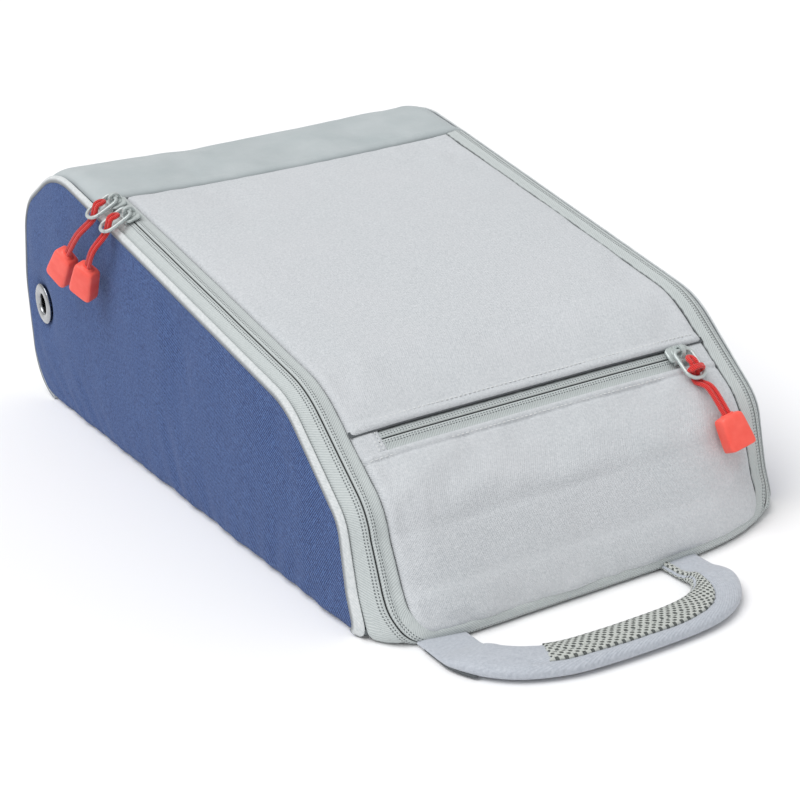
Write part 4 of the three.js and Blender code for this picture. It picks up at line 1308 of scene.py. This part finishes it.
def add_pulls():
    """The three pulls. The main ones sit at stations of the left leg, the pocket's at a width on its zip."""
    common = {"tilt": -0.25, "outward_way": (-14.5, 0, -8), "face": (-0.75, -0.6, 0.25)}
    add_pull(
        "main_a",
        leg_frame(299),
        ways=[(-112.2, 70, 110.4), (-114.64, 80.6, 99.8)],
        end_top=(-114.7, 81.05, 99.3),
        end_bottom=(-116.3, 93.45, 85.7),
        **common,
    )
    add_pull(
        "main_b",
        leg_frame(283),
        ways=[(-112.6, 50, 107.4), (-114.07, 55.1, 99.25)],
        end_top=(-114.1, 55.5, 98.65),
        end_bottom=(-114.9, 64.7, 84.45),
        **common,
    )
    turn, place = pocket_frame(68)
    down, up = (turn.to_3x3() @ Vector(v) for v in ((1, 0, 0), (0, 0, 1)))
    add_pull(
        "pocket",
        (turn, place),
        tilt=0,
        outward_way=down + up * 0.06,
        ways=[surface(66.8, 70, 4.8), surface(61, 70.9, 6.5)],
        end_top=surface(60.2, 71.1, 6.8),
        end_bottom=surface(51.3, 73.6, 8.6),
        face=surface(55, 73, 10) - surface(55, 73),
        knotted=True,
    )


# ---------------------------------------------------------------- carry handle
# The handle lies flat in front of the toe. Each row is a point of its centre line seen from above, then the
# strap's width and how far the mesh pad reaches beyond the centre line, as in the model.
HANDLE = [
    (-75.8, -201.6, 19.5, 5),
    (-75.5, -207, 19.4, 5),
    (-71.8, -215.6, 19.2, 5),
    (-63.3, -224.2, 19.2, 5),
    (-49.8, -230.2, 19.2, 5),
    (-34, -232.2, 19.4, 5),
    (-16, -232.8, 19.6, 5.2),
    (2, -232.4, 19.8, 5.2),
    (15, -229.8, 20, 3.4),
    (25, -224, 19, -1.4),
    (31, -216, 18, -4.6),
    (33.2, -208, 17.5, -4.8),
    (33.5, -201.6, 17.5, -4.8),
]
ROOT = [-185, -193]  # y of the strap's sewn-on part under the toe
# The strap's lowest point, its thickness at the root and further out, and how square its section is.
STRAP = {"low": 0.4, "root": 2.4, "full": 6.6, "power": 0.72}


def handle_line(step=0.7):
    """Points along the handle, and at each the way out, width, pad reach, thickness and distance."""
    under = lambda row: [(row[0], y, *row[2:]) for y in ROOT]
    rows = under(HANDLE[0]) + HANDLE + under(HANDLE[-1])[::-1]
    path = smooth_path(rows, step)
    place = np.column_stack([path[:, :2], np.zeros(len(path))])
    ahead = unit(np.gradient(place, axis=0))
    outside = np.cross(ahead, (0, 0, 1))
    along = distance_along(place)
    near_root = np.clip((-198 - path[:, 1]) / 16, 0, 1)
    plump = near_root * near_root * (3 - 2 * near_root)
    thick = STRAP["root"] + (STRAP["full"] - STRAP["root"]) * plump
    return place, outside, path[:, 2], path[:, 3], thick, along


def rounded(angle, width, thick):
    """Points (outward, up) of the strap's softly squared section at the angles."""
    a, b = np.cos(angle), np.sin(angle)
    across = np.sign(a) * np.abs(a) ** STRAP["power"] * width / 2
    up = np.sign(b) * np.abs(b) ** STRAP["power"] * thick / 2
    return across, up


def add_handle():
    place, outside, width, reach, thick, along = handle_line()
    sides = 56
    angle = np.arange(sides) / sides * TAU
    across, up = rounded(angle[None, :], width[:, None], thick[:, None])
    padded = (along > 46) & (place[:, 1] < -203)
    seam = np.exp(-(((across - reach[:, None]) / 0.9) ** 2)) * (up > 0) * padded[:, None]
    crease = 0.22 * ripple(along[:, None], across, 15, seed=101)
    crease += 0.1 * ripple(along[:, None], across, 6, seed=103)
    up = up * (1 - 0.22 * seam) + crease * (up > 0.5)
    height = np.maximum(STRAP["low"] + thick[:, None] / 2 + up, GROUND)
    points = place[:, None] + across[..., None] * outside[:, None]
    points[..., 2] = height
    uv = np.stack(np.broadcast_arrays(across, along[:, None]), axis=-1)
    flat = points.reshape(-1, 3)
    uv = uv.reshape(-1, 2)
    piece = mesh_object("handle_padded_strap", flat, lofted(flat, sides), HANDLE_CLOTH, uv)
    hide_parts("handle_strap", "handle_anchor_left", "handle_anchor_right")
    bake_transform(piece)


NET_PITCH = (3.2, 2.8)  # the net's cells along and across the strap


def add_handle_net():
    """The spacer mesh of the handle's palm side, which wraps round the strap's inner edge."""
    line = handle_line(step=0.42)
    keep = (line[0][:, 0] > -56) & (line[-1] > 30)
    place, outside, width, reach, thick, along = (values[keep] for values in line)
    share = np.clip(2 * reach / width, -1, 1)
    outer = np.arccos(np.sign(share) * np.abs(share) ** (1 / STRAP["power"]))
    inner = math.radians(214)
    k = np.linspace(0, 1, 60)[None, :]
    angle = outer[:, None] + (inner - outer[:, None]) * k
    across, up = rounded(angle, width[:, None], thick[:, None])
    run = np.hypot(np.gradient(across, axis=1), np.gradient(up, axis=1))
    v = np.cumsum(run, axis=1) / NET_PITCH[1]
    u = along[:, None] / NET_PITCH[0] + 0.3 * v
    hole = np.clip(np.sin(TAU * u) * np.sin(TAU * v) - 0.1, 0, 0.8)
    start = along - along[0]
    seam = np.minimum(np.minimum(v, v[:, -1:] - v) * NET_PITCH[1], start[:, None])
    out = 0.7 - 0.9 * hole + tuck(seam, 1.1, 1.6)
    tall = np.gradient(across, axis=1) / run
    level = -np.gradient(up, axis=1) / run
    sign = np.where((across * level - up * tall) < 0, -1, 1)

    def layer(out):
        a = across + sign * level * out
        z = up - sign * tall * out
        points = place[:, None] + a[..., None] * outside[:, None]
        points[..., 2] = np.maximum(STRAP["low"] + thick[:, None] / 2 + z, GROUND)
        return points

    piece = shell("handle_net", layer(out), layer(out * 0 - 0.9), np.stack([u, v], axis=-1), NET)
    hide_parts("handle_mesh_pad")
    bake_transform(piece)


def add_handle_piping():
    """The dark stitched edge along the outside of the handle's left root."""
    place, outside, width, _, _, along = handle_line()
    keep = (along > 5) & (along < 31)
    path = (place + outside * (width[:, None] / 2 - 0.5))[keep]
    path[:, 2] = 1.4
    piece = tube("handle_piping", path, 0.6, SHADOW, sides=12)
    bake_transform(piece)


# ---------------------------------------------------------------- stage and light
def add_stage():
    bpy.ops.mesh.primitive_plane_add(size=40, location=(0, 0, -0.0002))
    floor = bpy.context.object
    floor.name = "floor"
    m = Surface("white_floor", roughness=0.9)
    m.colour((246, 246, 247))
    floor.data.materials.append(m.material)
    world = bpy.data.worlds.new("studio")
    world.use_nodes = True
    world.node_tree.nodes["Background"].inputs["Color"].default_value = (1, 1, 1, 1)
    world.node_tree.nodes["Background"].inputs["Strength"].default_value = 0.62
    bpy.context.scene.world = world
    bpy.context.scene.view_settings.view_transform = "Standard"


def add_sun():
    """One broad soft light from above and a little to the left."""
    data = bpy.data.lights.new("softbox", "SUN")
    data.energy = 1.95
    data.angle = math.radians(50)
    sun = bpy.data.objects.new("softbox", data)
    sun.rotation_euler = Vector((-0.46, -0.04, 0.89)).to_track_quat("Z", "Y").to_euler()
    bpy.context.scene.collection.objects.link(sun)


finish_cad_nodes()
add_pulls()
add_lid_upper()
add_flap_fold()
add_lid_pocket()
add_end()
add_hinge_strip()
add_main_zip()
add_pocket_zip()
add_pocket_tabs()
add_topstitching()
for side, side_name in ((-1, "left"), (1, "right")):
    add_side(side, side_name)
    add_binding(side, side_name)
    add_eyelet(side, side_name)
    add_gusset(side, side_name)
add_handle()
add_handle_net()
add_handle_piping()
add_stage()
add_sun()
